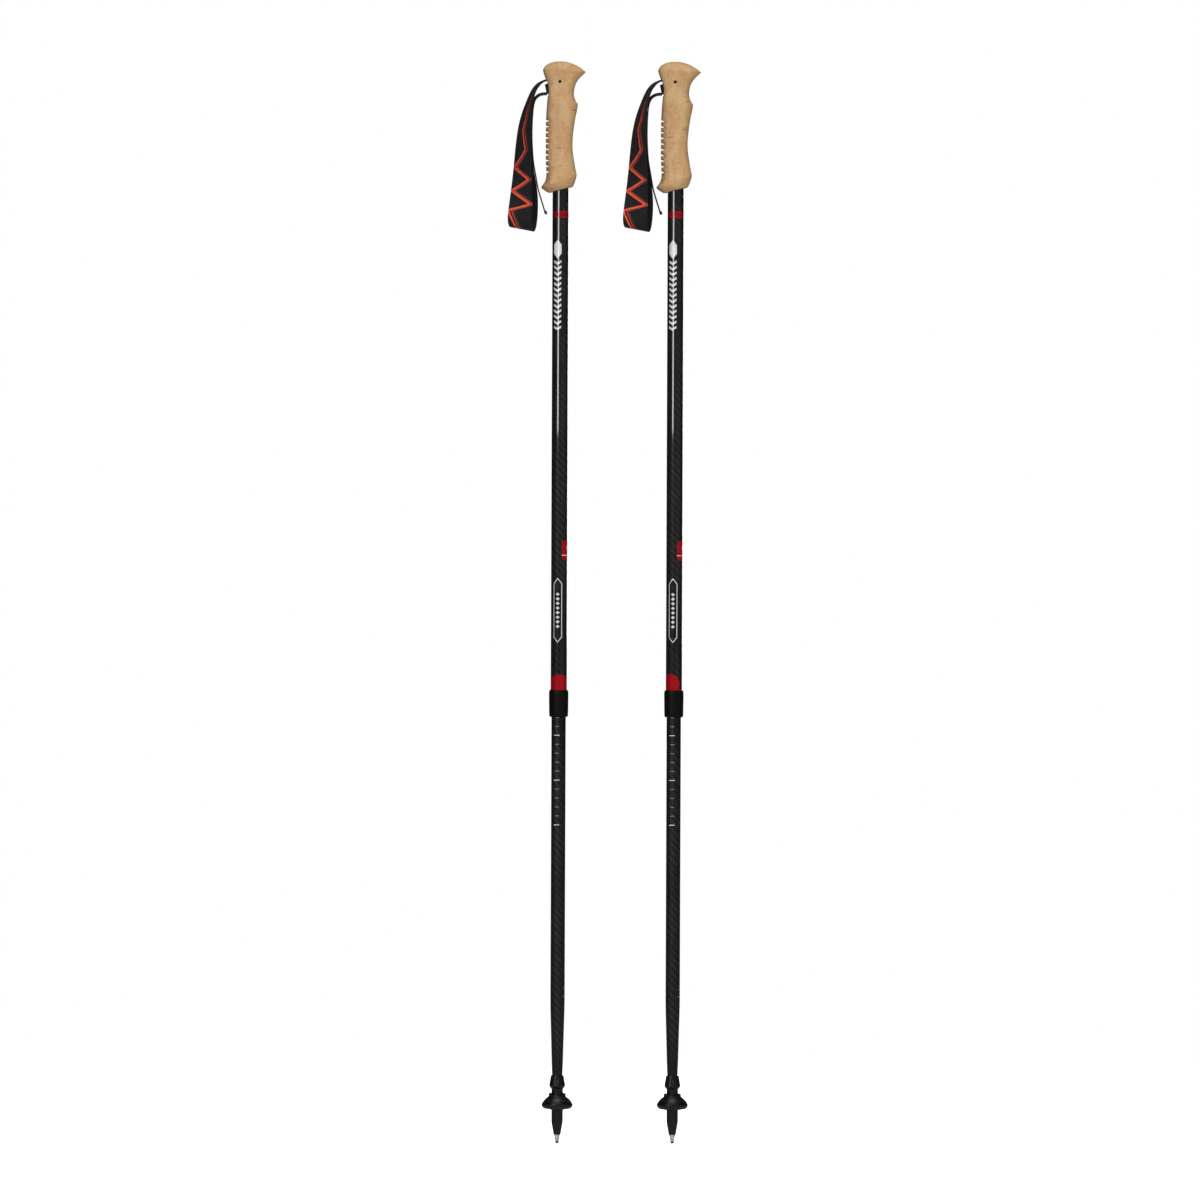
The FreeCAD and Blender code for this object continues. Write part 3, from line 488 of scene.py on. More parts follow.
def rounded_outline(points):
    """Rounds the corners of a closed outline of (across, up[, radius]) with short arcs."""
    result = []
    count = len(points)
    for index, point in enumerate(points):
        here = np.array(point[:2], float)
        radius = point[2] if len(point) > 2 else 0.0
        if not radius:
            result.append(here)
            continue
        before = np.array(points[index - 1][:2], float) - here
        after = np.array(points[(index + 1) % count][:2], float) - here
        reach = min(radius, 0.49 * np.linalg.norm(before), 0.49 * np.linalg.norm(after))
        start = here + before / np.linalg.norm(before) * reach
        end = here + after / np.linalg.norm(after) * reach
        for share in (0.0, 0.2, 0.4, 0.6, 0.8, 1.0):
            result.append((1 - share) ** 2 * start + 2 * share * (1 - share) * here + share**2 * end)
    return result


def lathe(name, outline, material, segments=96, shape=None):
    """A turned piece from an outline of (radius, height above the tip[, rounding]), in millimetres.

    shape(angle, height, radius) may change a point's radius."""
    outline = rounded_outline(outline)
    vertices, faces, rings = [], [], []
    for radius, height in outline:
        if radius < 1e-6:
            rings.append([len(vertices)])
            vertices.append((0, 0, (height - HAND_HEIGHT) * MM))
            continue
        rings.append(list(range(len(vertices), len(vertices) + segments)))
        for step in range(segments):
            angle = math.tau * step / segments
            r = shape(angle, height, radius) if shape else radius
            vertices.append((r * math.sin(angle) * MM, -r * math.cos(angle) * MM, (height - HAND_HEIGHT) * MM))
    for low, high in zip(rings, rings[1:] + rings[:1]):
        for step in range(segments):
            following = (step + 1) % segments
            if len(low) == 1 and len(high) == 1:
                break
            if len(low) == 1:
                faces.append((low[0], high[following], high[step]))
            elif len(high) == 1:
                faces.append((low[step], low[following], high[0]))
            else:
                faces.append((low[step], low[following], high[following], high[step]))
    thing = new_object(name, vertices, faces, material)
    smooth_by_angle(thing)
    return thing


class Spline:
    """A natural cubic curve through values at rising distances."""

    def __init__(self, at, values):
        self.at, self.values = np.asarray(at, float), np.asarray(values, float)
        count, gaps = len(at), np.diff(at)
        matrix = np.eye(count)
        right = np.zeros_like(self.values)
        for i in range(1, count - 1):
            matrix[i, i - 1 : i + 2] = gaps[i - 1], 2 * (gaps[i - 1] + gaps[i]), gaps[i]
            rise_after = (self.values[i + 1] - self.values[i]) / gaps[i]
            rise_before = (self.values[i] - self.values[i - 1]) / gaps[i - 1]
            right[i] = 6 * (rise_after - rise_before)
        self.bends = np.linalg.solve(matrix, right)

    def __call__(self, t):
        t = np.asarray(t, float)
        i = np.clip(np.searchsorted(self.at, t) - 1, 0, len(self.at) - 2)
        gap = (self.at[i + 1] - self.at[i])[:, None]
        a = (self.at[i + 1] - t)[:, None] / gap
        b = 1 - a
        return (
            a * self.values[i]
            + b * self.values[i + 1]
            + ((a**3 - a) * self.bends[i] + (b**3 - b) * self.bends[i + 1]) * gap**2 / 6
        )


class Strip:
    """A strip of cloth along stations of (x, y, height, turn, dip, width), in millimetres."""

    def __init__(self, stations):
        stations = np.array(stations, float)
        steps = np.linalg.norm(np.diff(stations[:, :3], axis=0), axis=1)
        self.at = np.concatenate([[0], np.cumsum(steps)])
        self.length = self.at[-1]
        self.curve = Spline(self.at, stations)

    def frames(self, u):
        values = self.curve(u)
        ahead = self.curve(np.minimum(u + 0.4, self.length))[:, :3]
        behind = self.curve(np.maximum(u - 0.4, 0))[:, :3]
        along = unit(ahead - behind)
        turn, dip = np.radians(values[:, 3]), np.radians(values[:, 4])
        across = unit(np.stack([np.sin(turn), -np.cos(turn), -np.sin(dip)], axis=1))
        return values[:, :3], along, across, unit(np.cross(along, across)), values[:, 5]

    def point(self, u, v, outward):
        middle, _, across, out, _ = self.frames(np.atleast_1d(np.asarray(u, float)))
        at = middle + across * np.atleast_1d(v)[:, None] + out * np.atleast_1d(outward)[:, None]
        return (at - (0, 0, HAND_HEIGHT)) * MM


def unit(vectors):
    return vectors / np.linalg.norm(vectors, axis=1)[:, None]


def strip_mesh(name, strip, thickness, material, offset=0.0, span=None, narrower=0.0, step=1.0, edge=0.5):
    """The strip as a closed mesh with rounded selvedges. Its UV map cloth is (along, across) in decimetres."""
    first, last = span or (0.0, strip.length)
    u = np.linspace(first, last, max(4, int((last - first) / step)))
    middle, _, across, out, width = strip.frames(u)
    width = width - narrower
    half = thickness / 2
    corner = min(edge, half * 0.98)
    quarter = [(math.cos(a), math.sin(a)) for a in np.linspace(0, math.pi / 2, 5)]
    columns = 28
    # Section points as (share of the flat half width, extra across, outward).
    section = []
    for k in range(columns + 1):
        section.append((-1 + 2 * k / columns, 0.0, half))
    for c, s in quarter[::-1][1:]:
        section.append((1, corner * c, half - corner + corner * s))
    for c, s in quarter:
        section.append((1, corner * c, -half + corner - corner * s))
    for k in range(1, columns + 1):
        section.append((1 - 2 * k / columns, 0.0, -half))
    for c, s in quarter[::-1][1:]:
        section.append((-1, -corner * c, -half + corner - corner * s))
    for c, s in quarter[:-1]:
        section.append((-1, -corner * c, half - corner + corner * s))
    rows, cloth = [], []
    for share, extra, outward in section:
        v = share * (width / 2 - corner) + extra
        rows.append(middle + across * v[:, None] + out * (outward + offset))
        cloth.append(np.stack([u / 100, v / 100], axis=1))
    points = np.stack(rows, axis=1)
    cloth = np.stack(cloth, axis=1)
    count = len(section)
    vertices = ((points - (0, 0, HAND_HEIGHT)) * MM).reshape(-1, 3)
    faces = []
    for i in range(len(u) - 1):
        for k in range(count):
            n = (k + 1) % count
            faces.append((i * count + k, (i + 1) * count + k, (i + 1) * count + n, i * count + n))
    faces.append(tuple(range(count)))
    faces.append(tuple(range((len(u) - 1) * count, len(u) * count))[::-1])
    thing = new_object(name, vertices, faces, material)
    layer = thing.data.uv_layers.new(name="cloth")
    flat = cloth.reshape(-1, 2)
    loops = np.zeros(len(thing.data.loops), int)
    thing.data.loops.foreach_get("vertex_index", loops)
    layer.data.foreach_set("uv", flat[loops].ravel())
    smooth_by_angle(thing, 50)
    return thing


def remeshed(name, node, material, voxel, smoothing):
    """A finer copy of a CAD node with its sharp edges softened."""
    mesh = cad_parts[node].data.copy()
    mesh.materials.clear()
    mesh.materials.append(material)
    thing = bpy.data.objects.new(name, mesh)
    scene.collection.objects.link(thing)
    remesh = thing.modifiers.new("remesh", "REMESH")
    remesh.mode = "VOXEL"
    remesh.voxel_size = voxel * MM
    remesh.use_smooth_shade = True
    soften = thing.modifiers.new("soften", "SMOOTH")
    soften.factor = 0.5
    soften.iterations = smoothing
    apply_modifiers(thing)
    return thing


def apply_modifiers(thing):
    graph = bpy.context.evaluated_depsgraph_get()
    graph.update()
    mesh = bpy.data.meshes.new_from_object(thing.evaluated_get(graph))
    materials = list(thing.data.materials)
    thing.modifiers.clear()
    thing.data = mesh
    mesh.materials.clear()
    for material in materials:
        mesh.materials.append(material)


def stitches(name, points, directions, length, radius, material):
    """Short rounded threads lying along the given directions, as one mesh."""
    vertices, faces = [], []
    sides, rings = 6, 5
    for point, direction in zip(points, directions):
        direction = direction / np.linalg.norm(direction)
        side = np.cross(direction, (0.3, 0.5, 0.8))
        side /= np.linalg.norm(side)
        other = np.cross(direction, side)
        base = len(vertices)
        for ring in range(rings):
            share = ring / (rings - 1) * 2 - 1
            girth = radius * math.sqrt(max(0.12, 1 - share**4))
            for k in range(sides):
                angle = math.tau * k / sides
                vertices.append(
                    point
                    + direction * (length / 2 * share)
                    + (side * math.cos(angle) + other * math.sin(angle)) * girth
                )
        for ring in range(rings - 1):
            for k in range(sides):
                n = (k + 1) % sides
                a = base + ring * sides
                faces.append((a + k, a + n, a + sides + n, a + sides + k))
        faces.append(tuple(base + k for k in range(sides))[::-1])
        faces.append(tuple(base + (rings - 1) * sides + k for k in range(sides)))
    thing = new_object(name, vertices, faces, material)
    thing.data.shade_smooth()
    return thing


INK_HEIGHT, INK_LAYER = 0.035, 0.02  # of the lowest print above the tube, and of each layer


def print_on_tube(name, radius, shapes, materials):
    """Lays flat shapes of (material index, layer, outline of (around, height)) on a tube, in millimetres."""
    work = bmesh.new()
    for index, layer, outline in shapes:
        corners = [work.verts.new((s, h, layer)) for s, h in outline]
        face = work.faces.new(corners)
        face.material_index = index
    step = 0.5  # the widest flat facet, in millimetres round the tube
    low = min(v.co.x for v in work.verts)
    high = max(v.co.x for v in work.verts)
    cut = math.floor(low / step) * step
    while cut < high:
        cut += step
        geometry = work.verts[:] + work.edges[:] + work.faces[:]
        bmesh.ops.bisect_plane(work, geom=geometry, plane_co=(cut, 0, 0), plane_no=(1, 0, 0), dist=1e-5)
    bmesh.ops.triangulate(work, faces=work.faces[:])
    for vertex in work.verts:
        s, h, layer = vertex.co
        r = (radius + INK_HEIGHT + INK_LAYER * layer) * MM
        angle = s / radius
        vertex.co = (r * math.sin(angle), -r * math.cos(angle), (h - HAND_HEIGHT) * MM)
    mesh = bpy.data.meshes.new(name)
    bmesh.ops.recalc_face_normals(work, faces=work.faces[:])
    work.to_mesh(mesh)
    work.free()
    # Every face looks away from the axis.
    flips = [p.index for p in mesh.polygons if p.normal.x * p.center.x + p.normal.y * p.center.y < 0]
    if flips:
        fix = bmesh.new()
        fix.from_mesh(mesh)
        fix.faces.ensure_lookup_table()
        bmesh.ops.reverse_faces(fix, faces=[fix.faces[i] for i in flips])
        fix.to_mesh(mesh)
        fix.free()
    thing = bpy.data.objects.new(name, mesh)
    scene.collection.objects.link(thing)
    for material in materials:
        mesh.materials.append(material)
    mesh.shade_smooth()
    return thing


def rectangle(low, high, foot, head):
    """An outline from low to high round the tube, and from foot to head up it."""
    return [(low, foot), (high, foot), (high, head), (low, head)]


def disc(centre, height, radius, squash=1.0):
    angles = [math.tau * k / 48 for k in range(48)]
    return [(centre + radius * math.cos(a), height + squash * radius * math.sin(a)) for a in angles]


def capsule(low, high, foot, head):
    """A band with half-round ends."""
    radius, middle = (head - foot) / 2, (head + foot) / 2
    angles = [math.pi * k / 12 for k in range(13)]
    right = [(high - radius + radius * math.sin(a), middle - radius * math.cos(a)) for a in angles]
    left = [(low + radius - radius * math.sin(a), middle + radius * math.cos(a)) for a in angles]
    return right + left


def above(outline, limit):
    """The part of a convex outline above a height."""
    result = []
    for (s0, h0), (s1, h1) in zip(outline, outline[1:] + outline[:1]):
        if h0 >= limit:
            result.append((s0, h0))
        if (h0 - limit) * (h1 - limit) < 0:
            share = (limit - h0) / (h1 - h0)
            result.append((s0 + (s1 - s0) * share, limit))
    return result


# ---- pieces ---------------------------------------------------------------------------------


def both(piece, body, slot, *nodes, right_material=None):
    """Puts a piece made on the left pole on both poles. It returns the two."""
    name, pair = piece.name, []
    twin = piece.copy()  # copied before the left one is renamed and placed
    scene.collection.objects.link(twin)
    if right_material:
        twin.data = twin.data.copy()
        twin.data.materials[0] = right_material
    for item, (pole, offset) in zip((piece, twin), OFFSETS.items()):
        item.name = f"{pole}_{name}_shown"
        item.location = (offset, 0, 0)
        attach(item, f"{pole}_{body}")
        if nodes:
            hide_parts(*[f"{pole}_{node}" for node in nodes])
        pair.append(item)
    return pair


def one(piece, pole, body):
    """Puts a piece on one pole."""
    piece.location = (OFFSETS[pole], 0, 0)
    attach(piece, f"{pole}_{body}")


# Shafts.
both(
    lathe(
        "upper_shaft",
        (
            (UPPER_BORE, UPPER_FOOT, 0.2),
            (UPPER_RADIUS, UPPER_FOOT, 0.2),
            (UPPER_RADIUS, UPPER_HEAD, 0.2),
            (UPPER_BORE, UPPER_HEAD, 0.2),
        ),
        GLOSS_CARBON,
    ),
    "upper",
    "carbon_gloss",
    "upper_shaft",
)
both(
    lathe(
        "lower_shaft",
        (
            (TAPER_RADIUS - LOWER_WALL, TAPER_FOOT, 0.2),
            (TAPER_RADIUS, TAPER_FOOT, 0.2),
            (LOWER_RADIUS, TAPER_TOP, 12.0),
            (LOWER_RADIUS, LOWER_HEAD, 0.2),
            (LOWER_RADIUS - LOWER_WALL, LOWER_HEAD, 0.2),
            (LOWER_RADIUS - LOWER_WALL, TAPER_TOP, 12.0),
        ),
        MATTE_CARBON,
    ),
    "lower",
    "carbon_matte",
    "lower_shaft",
)

# Collar.
both(
    lathe(
        "lock_collar",
        (
            (8.06, 476.6),
            (8.7, 476.6, 0.4),
            (10.45, 477.4, 2.4),
            (10.62, 482.0, 1.0),
            (10.9, 503.2, 1.0),
            (10.82, 504.6, 0.3),
            (10.55, 505.0, 0.3),
            (10.5, 506.9, 0.8),
            (9.3, 507.0, 0.3),
            (9.02, 506.6, 0.2),
            (9.0, 479.6),
            (8.06, 479.6),
        ),
        SATIN,
        segments=128,
    ),
    "upper",
    "black_plastic",
    "lock_collar",
)


# Grooves of the ferrule: foot and head, how many, their turn in radians and how sharp they are.
NOSE_GROOVES, CONE_FLATS, GROOVE_DEPTH = (16.0, 28.0, 8, 0.6, 3), (65.0, 74.5, 6, 0.0, 2), 0.45


def flutes(angle, height, radius):
    """Short grooves on the ferrule's nose, and flats on the widest part of the stop cone."""
    for foot, head, count, turn, sharpness in (NOSE_GROOVES, CONE_FLATS):
        if foot < height < head:
            depth = math.sin(math.pi * (height - foot) / (head - foot))
            wave = max(0.0, math.cos(count * angle + turn)) ** sharpness
            radius -= GROOVE_DEPTH * depth * wave
    return radius


def between(start, end, count):
    """The points that cut a straight line into count parts."""
    return [tuple(a + (b - a) * k / count for a, b in zip(start, end)) for k in range(1, count)]


NOSE_FOOT, NOSE_TOP, NOSE_RINGS = (3.95, 10.0), (6.45, 23.9), 14
SKIRT, CROWN, CONE_RINGS = (8.95, 64.9), (7.15, 75.3), 10
both(
    lathe(
        "tip_ferrule",
        (
            (0.0, 26.0),
            (2.9, 26.0),
            (2.9, 10.0),
            (*NOSE_FOOT, 0.15),
            *between(NOSE_FOOT, NOSE_TOP, NOSE_RINGS),
            (*NOSE_TOP, 1.2),
            (6.45, 26.0),
            (6.45, 28.5),
            (6.45, 37.4, 0.1),
            (6.7, 37.5, 0.1),
            (6.7, 53.9),
            (6.95, 54.0, 0.15),
            (6.95, 54.5, 0.15),
            (6.45, 54.6, 0.1),
            (6.45, 60.7, 0.8),
            (8.65, 63.3, 0.4),
            (*SKIRT, 0.5),
            *between(SKIRT, CROWN, CONE_RINGS),
            (7.1, 75.8, 0.35),
            (5.88, 75.8, 0.2),
            (4.85, 40.0),
            (0.0, 40.0),
        ),
        BLACK,
        segments=144,
        shape=flutes,
    ),
    "lower",
    "black_plastic",
    "tip_ferrule",
)
both(
    lathe(
        "tip_holder",
        (
            (0.0, 25.9),
            (2.88, 25.9),
            (2.88, 9.98),
            (3.45, 9.98, 0.2),
            (3.4, 8.7, 0.3),
            (2.85, 7.7, 0.2),
            (2.55, 7.0, 0.15),
            (2.72, 6.4, 0.2),
            (2.5, 4.9, 0.15),
            (2.3, 4.6, 0.12),
            (2.35, 4.2, 0.15),
            (2.1, 2.45, 0.15),
            (1.5, 2.4),
            (1.5, 12.0),
            (0.0, 12.0),
        ),
        HOLDER,
        segments=64,
    ),
    "lower",
    "steel",
    "tip_holder",
)
both(
    lathe(
        "carbide_tip",
        (
            (0.0, 11.9),
            (1.48, 11.9),
            (1.48, 2.4),
            (1.88, 2.38, 0.1),
            (1.88, 0.4, 0.15),
            (1.5, 0.03, 0.1),
            (0.7, 0.7, 0.2),
            (0.0, 0.9),
        ),
        CARBIDE,
        segments=48,
    ),
    "lower",
    "carbide",
    "carbide_tip",
)

# Basket and grip keep their CAD form with softened edges.
both(remeshed("basket", "left_basket", BLACK, 0.28, 3), "basket_body", "black_plastic", "basket")
both(
    remeshed("cork_grip", "left_cork_grip", CORK, 0.42, 4),
    "upper",
    "cork",
    "cork_grip",
    right_material=OTHER_CORK,
)


# Webbing. The drawn loop starts and ends a little deeper in the slot than the solid.
ENTRY_ACROSS, ENTRY_UP = 1.5, 0.5  # from the first station to the drawn start, about one LEAD away


def widened(station):
    """A station with its width in millimetres instead of its share."""
    return (*station[:5], NARROW + (FULL - NARROW) * station[5])


first, last = LOOP[0], LOOP[-1]
drawn_start = (first[0] + ENTRY_ACROSS, first[1], first[2] + ENTRY_UP, *first[3:])
drawn_end = (last[0] + LEAD, *last[1:])
loop = Strip([widened(station) for station in (drawn_start, *LOOP, drawn_end)])
tail = Strip([(*point, 0, 0, NARROW) for point in TAIL])
lining_span = (float(loop.at[LINING_FROM + 1]), float(loop.at[LINING_TO + 1]))
both(strip_mesh("strap_webbing", loop, WEB_THICKNESS, WEBBING), "strap", "webbing", "strap_webbing")
linings = both(
    strip_mesh(
        "strap_lining",
        loop,
        LINING_THICKNESS,
        LINING,
        offset=-(WEB_THICKNESS + LINING_THICKNESS) / 2 - LINING_GAP,
        span=lining_span,
        narrower=2.0,
        edge=0.78,
    ),
    "strap",
    "lining",
    "strap_lining",
)

# The lining is sewn on along both of its edges. The stitches show on both faces.
STITCH_PITCH, STITCH_LENGTH, STITCH_RADIUS, SEAM_INSET = 3.0, 2.1, 0.2, 2.6
seam_at = np.arange(lining_span[0] + 2.0, lining_span[1] - 2.0, STITCH_PITCH)
seam_half = loop.frames(seam_at)[4] / 2 - SEAM_INSET
inner_face = -(WEB_THICKNESS / 2 + LINING_GAP + LINING_THICKNESS)
middles, headings = [], []
for side in (-1, 1):
    for face in (WEB_THICKNESS / 2, inner_face):
        middles.append(loop.point(seam_at, side * seam_half, np.full(len(seam_at), face)))
        headings.append(loop.frames(seam_at)[1])
both(
    stitches(
        "strap_seams",
        np.concatenate(middles),
        np.concatenate(headings),
        STITCH_LENGTH * MM,
        STITCH_RADIUS * MM,
        THREAD,
    ),
    "strap",
    "webbing",
)
both(
    strip_mesh("strap_tail", tail, TAIL_THICKNESS, PLAIN_WEBBING, offset=TAIL_NUDGE, step=0.8),
    "tail",
    "webbing",
    "strap_tail",
)
# The folded and sewn end of the tail is twice as thick and a little wider.
end_x, end_y, end_height = TAIL[-1]
fold_ends = (end_x, end_y, end_height), (end_x + 1.05, end_y + 0.05, end_height - 3.3)
fold = Strip([(*point, 0, 0, NARROW + 0.3) for point in fold_ends])
both(strip_mesh("strap_tail_fold", fold, 2.9, PLAIN_WEBBING, step=0.4, edge=1.2), "tail", "webbing")

# Prints on the upper shafts: a red band, plain white shapes, a red label and the mark above the
# collar. A shape is (material, layer, outline); an outline is (millimetres round the tube, height).
IN_WHITE, IN_RED, IN_DARK_RED = 0, 1, 2
emblem = [(-3.2, 1010.2), (-7.8, 1004.6), (-7.8, 994.6), (-3.2, 989.0), (1.4, 994.6), (1.4, 1004.6)]
shapes = [
    (IN_RED, 0, capsule(-8.6, 36.0, 1034.8, 1042.2)),
    (IN_DARK_RED, 1, capsule(-6.9, 34.3, 1036.4, 1040.6)),
    (IN_WHITE, 0, emblem),
]
CHEVRON = (-7.6, 2.6), (-3.2, 0.0), (1.2, 2.6), (1.2, 5.4), (-3.2, 2.8), (-7.6, 5.4)
CHEVRON_FOOT, CHEVRON_PITCH, CHEVRONS = 908.9, 6.1, 13
for index in range(CHEVRONS):
    foot = CHEVRON_FOOT + CHEVRON_PITCH * index
    shapes.append((IN_WHITE, 0, [(s, foot + rise) for s, rise in CHEVRON]))
long_hexagon = [(-1.5, 632.4), (-6.45, 626.0), (-6.45, 566.1), (-1.5, 559.7), (3.45, 566.1), (3.45, 626.0)]
inner_hexagon = [(-1.5, 631.0), (-5.6, 625.6), (-5.6, 566.5), (-1.5, 561.1), (2.6, 566.5), (2.6, 625.6)]
for k in range(6):
    n = (k + 1) % 6
    frame_side = [long_hexagon[k], long_hexagon[n], inner_hexagon[n], inner_hexagon[k]]
    shapes.append((IN_WHITE, 0, frame_side))
DIAMOND_MIDDLE, DIAMOND_PITCH, DIAMONDS = 578.0, 5.15, 8
for index in range(DIAMONDS):
    middle = DIAMOND_MIDDLE + DIAMOND_PITCH * index
    shapes.append((IN_WHITE, 0, [(-1.5, middle - 1.9), (0.8, middle), (-1.5, middle + 1.9), (-3.8, middle)]))
label = [(21.2, 652.1), (21.2, 673.7), (5.8, 673.7), (4.5, 673.3), (3.6, 672.3), (3.2, 670.8)]
label += [(3.2, 655.0), (3.6, 653.5), (4.5, 652.5), (5.8, 652.1)]
HALF_ROUND = 28.27  # half of the way round the upper tube
COLLAR_HEAD, RING_HEAD = 507.02, 508.5  # foot and head of the red ring above the collar
shapes += [
    (IN_RED, 0, label),
    (IN_WHITE, 1, [(15.0, 672.2), (9.8, 666.2), (15.0, 660.2), (20.2, 666.2)]),
    (IN_RED, 2, [(15.0, 669.2), (12.4, 666.2), (15.0, 663.2), (17.6, 666.2)]),
    (IN_WHITE, 1, rectangle(2.9, 21.2, 657.1, 657.9)),
    (IN_RED, 0, rectangle(-HALF_ROUND, HALF_ROUND, COLLAR_HEAD, RING_HEAD)),
]
# The mark above the collar faces another way on the right pole.
for pole, turned in (("left", 0.0), ("right", 27.0)):
    own = [
        (IN_RED, 0, above(disc(0.4 + turned, 511.4, 12.9), RING_HEAD)),
        (IN_RED, 0, above(disc(25.0 + turned, 513.6, 11.6), RING_HEAD)),
        (IN_DARK_RED, 1, disc(1.0 + turned, 513.2, 1.3, squash=0.6)),
    ]
    one(
        print_on_tube(f"{pole}_upper_print", UPPER_RADIUS, shapes + own, [WHITE, RED, DARK_RED]),
        pole,
        "upper",
    )

# Scale on the lower shafts: a mark every centimetre, a longer one every five, and its number.
SCALE_FOOT, SCALE_PITCH, SCALE_MARKS, LOWEST_NUMBER = 356.3, 10.0, 26, 110
marks = []
for index in range(SCALE_MARKS):
    height = SCALE_FOOT + SCALE_PITCH * index
    long_mark = index % 5 == 0
    low, high = (-5.4, 1.2) if long_mark else (-4.0, 0.6)
    marks.append((int(long_mark), 0, rectangle(low, high, height - 0.45, height + 0.45)))
# Three small dashes stand lower down, above the taper.
for height, low, high in ((172.5, 6.3, 8.0), (175.6, 6.8, 7.8), (164.6, 5.6, 8.2)):
    marks.append((0, 0, rectangle(low, high, height - 0.4, height + 0.4)))
both(print_on_tube("lower_print", LOWER_RADIUS, marks, [SILVER, WHITE]), "lower", "carbon_matte")


def number_shapes(text, start, height, size):
    """A number in the built-in typeface, as outlines on the tube."""
    curve = bpy.data.curves.new("number", "FONT")
    curve.body = text
    curve.size = size
    curve.resolution_u = 3
    holder = bpy.data.objects.new("number", curve)
    scene.collection.objects.link(holder)
    bpy.context.view_layer.update()
    mesh = bpy.data.meshes.new_from_object(holder.evaluated_get(bpy.context.evaluated_depsgraph_get()))
    points = [(start + vertex.co.x, height + vertex.co.y) for vertex in mesh.vertices]
    outlines = [[points[i] for i in polygon.vertices] for polygon in mesh.polygons]
    bpy.data.objects.remove(holder)
    bpy.data.curves.remove(curve)
    bpy.data.meshes.remove(mesh)
    return outlines


digits = []
for index in range(0, SCALE_MARKS, 5):
    height = SCALE_FOOT + SCALE_PITCH * index
    for outline in number_shapes(str(LOWEST_NUMBER + index), 5.0, height - 1.6, 4.6):
        digits.append((0, 0, outline))
both(print_on_tube("lower_numbers", LOWER_RADIUS, digits, [FAINT]), "lower", "carbon_matte")

# Finishes of the CAD nodes that stay.
KEPT = {
    "grip_insert": BLACK,
    "strap_pin": BLACKENED,
    "strap_wedge": WEDGE,
    "strap_anchor": THREAD,
    "lock_expander": NYLON,
    "cone_nut": NYLON,
    "lock_stud": ALUMINIUM,
    "stud_plug": BLACK,
    "stop_nut": STEEL,
}
for pole in OFFSETS:
    for node, material in KEPT.items():
        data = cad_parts[f"{pole}_{node}"].data
        data.materials.clear()
        data.materials.append(material)

# ---- stage ----------------------------------------------------------------------------------

# The floor lies below the reach of a pole at its longest with its basket drawn off.
FLOOR_DROP = 0.2
PAIR_MIDDLE = 0.064  # metres from the left pole's axis towards the right one
bpy.ops.mesh.primitive_plane_add(size=9.0, location=(0.06, 0, -HAND_HEIGHT * MM - FLOOR_DROP))
floor = bpy.context.object
floor.name = "floor"
pale = Finish("pale_floor", Base_Color=(0.72, 0.72, 0.72), Roughness=0.9, Specular=0.0)
seen_directly = pale.node("LightPath", "Is Camera Ray")
pale.set(Emission_Color=(1, 1, 1), Emission_Strength=seen_directly)
floor.data.materials.append(pale.material)


def lamp(name, place, aim, width, height, radiance, sheen_only=False, fill_only=False):
    """A soft box. It may show only in reflections (sheen_only), or light all but them (fill_only)."""
    data = bpy.data.lights.new(name, "AREA")
    data.shape = "RECTANGLE"
    data.size, data.size_y = width, height
    data.energy = radiance * math.pi * width * height
    thing = bpy.data.objects.new(name, data)
    scene.collection.objects.link(thing)
    thing.location = place
    thing.rotation_euler = (Vector(aim) - Vector(place)).to_track_quat("-Z", "Y").to_euler()
    thing.visible_camera = False
    thing.visible_glossy = not fill_only
    thing.visible_diffuse = not sheen_only


def around(azimuth, distance, z):
    """A point at a distance from the pair, at an azimuth to the right of the camera's side."""
    angle = math.radians(azimuth)
    return (PAIR_MIDDLE + distance * math.sin(angle), -distance * math.cos(angle), z)


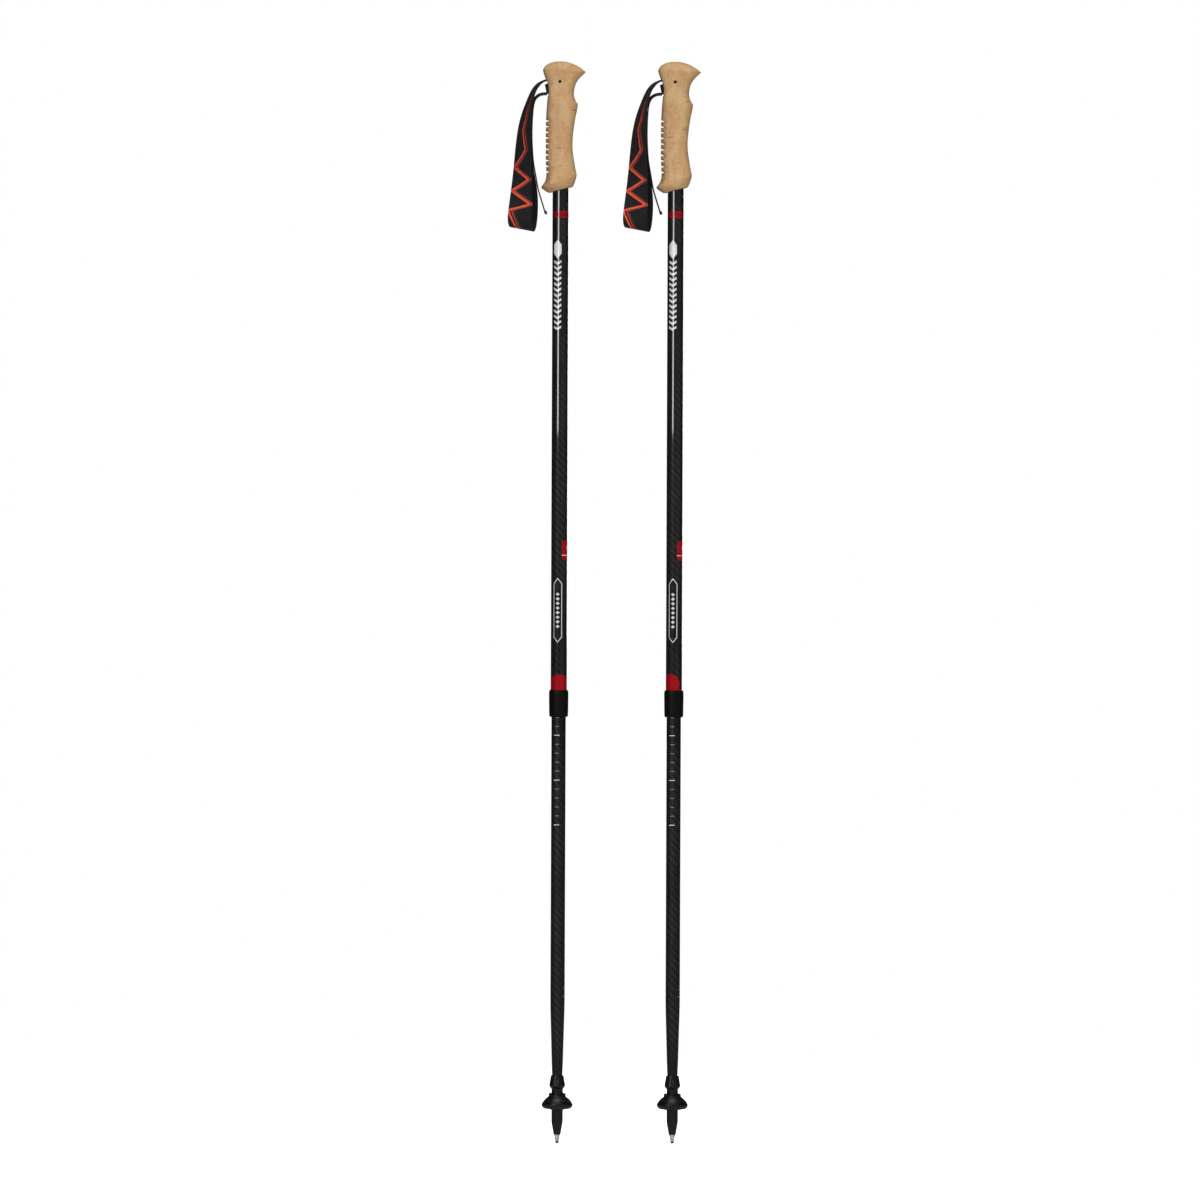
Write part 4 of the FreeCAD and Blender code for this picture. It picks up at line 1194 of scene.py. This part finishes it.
lamp("strip", around(-28.6, 2.4, 0.15), around(0, 0, 0.15), 0.75, 0.9, 12.5, sheen_only=True)
lamp("low_strip", around(-28.6, 2.4, -0.9), around(0, 0, -0.7), 0.75, 1.2, 0.15, sheen_only=True)
lamp("right_soft", around(50, 2.4, -0.3), around(0, 0, -0.4), 3.2, 3.4, 0.18, sheen_only=True)
lamp("front_fill", around(7, 4.0, 0.5), around(0, 0, -0.3), 3.0, 3.0, 4.2, fill_only=True)
lamp("top_soft", (0.0, -0.7, 2.6), (0.06, 0, 0), 2.0, 2.0, 3.9)
lamp("back_strip", around(174, 2.6, 0.2), around(0, 0, 0.2), 0.45, 1.6, 8.0, sheen_only=True)
lamp("back_fill", around(180, 4.0, 0.6), around(0, 0, -0.3), 3.0, 3.0, 3.0, fill_only=True)

world = bpy.data.worlds.new("studio")
scene.world = world
world.use_nodes = True
tree = world.node_tree
background = tree.nodes["Background"]
sky = tree.nodes.new("ShaderNodeBackground")
seen = tree.nodes.new("ShaderNodeLightPath")
choose = tree.nodes.new("ShaderNodeMixShader")
background.inputs["Color"].default_value = (0.018, 0.018, 0.018, 1)
sky.inputs["Color"].default_value = (1, 1, 1, 1)
tree.links.new(seen.outputs["Is Camera Ray"], choose.inputs[0])
tree.links.new(background.outputs[0], choose.inputs[1])
tree.links.new(sky.outputs[0], choose.inputs[2])
tree.links.new(choose.outputs[0], tree.nodes["World Output"].inputs["Surface"])
scene.view_settings.view_transform = "Standard"

# ---- camera ---------------------------------------------------------------------------------

DISTANCE, FIELD_WIDTH, ROLL = 8.0, 1.3423, 0.22  # metres, metres at the poles, degrees
CENTRE_X, CENTRE_Z = 0.0458, -0.5223
camera_data = bpy.data.cameras.new("camera")
camera = bpy.data.objects.new("camera", camera_data)
scene.collection.objects.link(camera)
camera_data.sensor_width = 36.0
camera_data.lens = camera_data.sensor_width * DISTANCE / FIELD_WIDTH
c, s = math.cos(math.radians(ROLL)), math.sin(math.radians(ROLL))
camera.matrix_world = Matrix(
    ((c, -s, 0, CENTRE_X), (0, 0, -1, -DISTANCE), (s, c, 0, CENTRE_Z), (0, 0, 0, 1))
)
scene.camera = camera
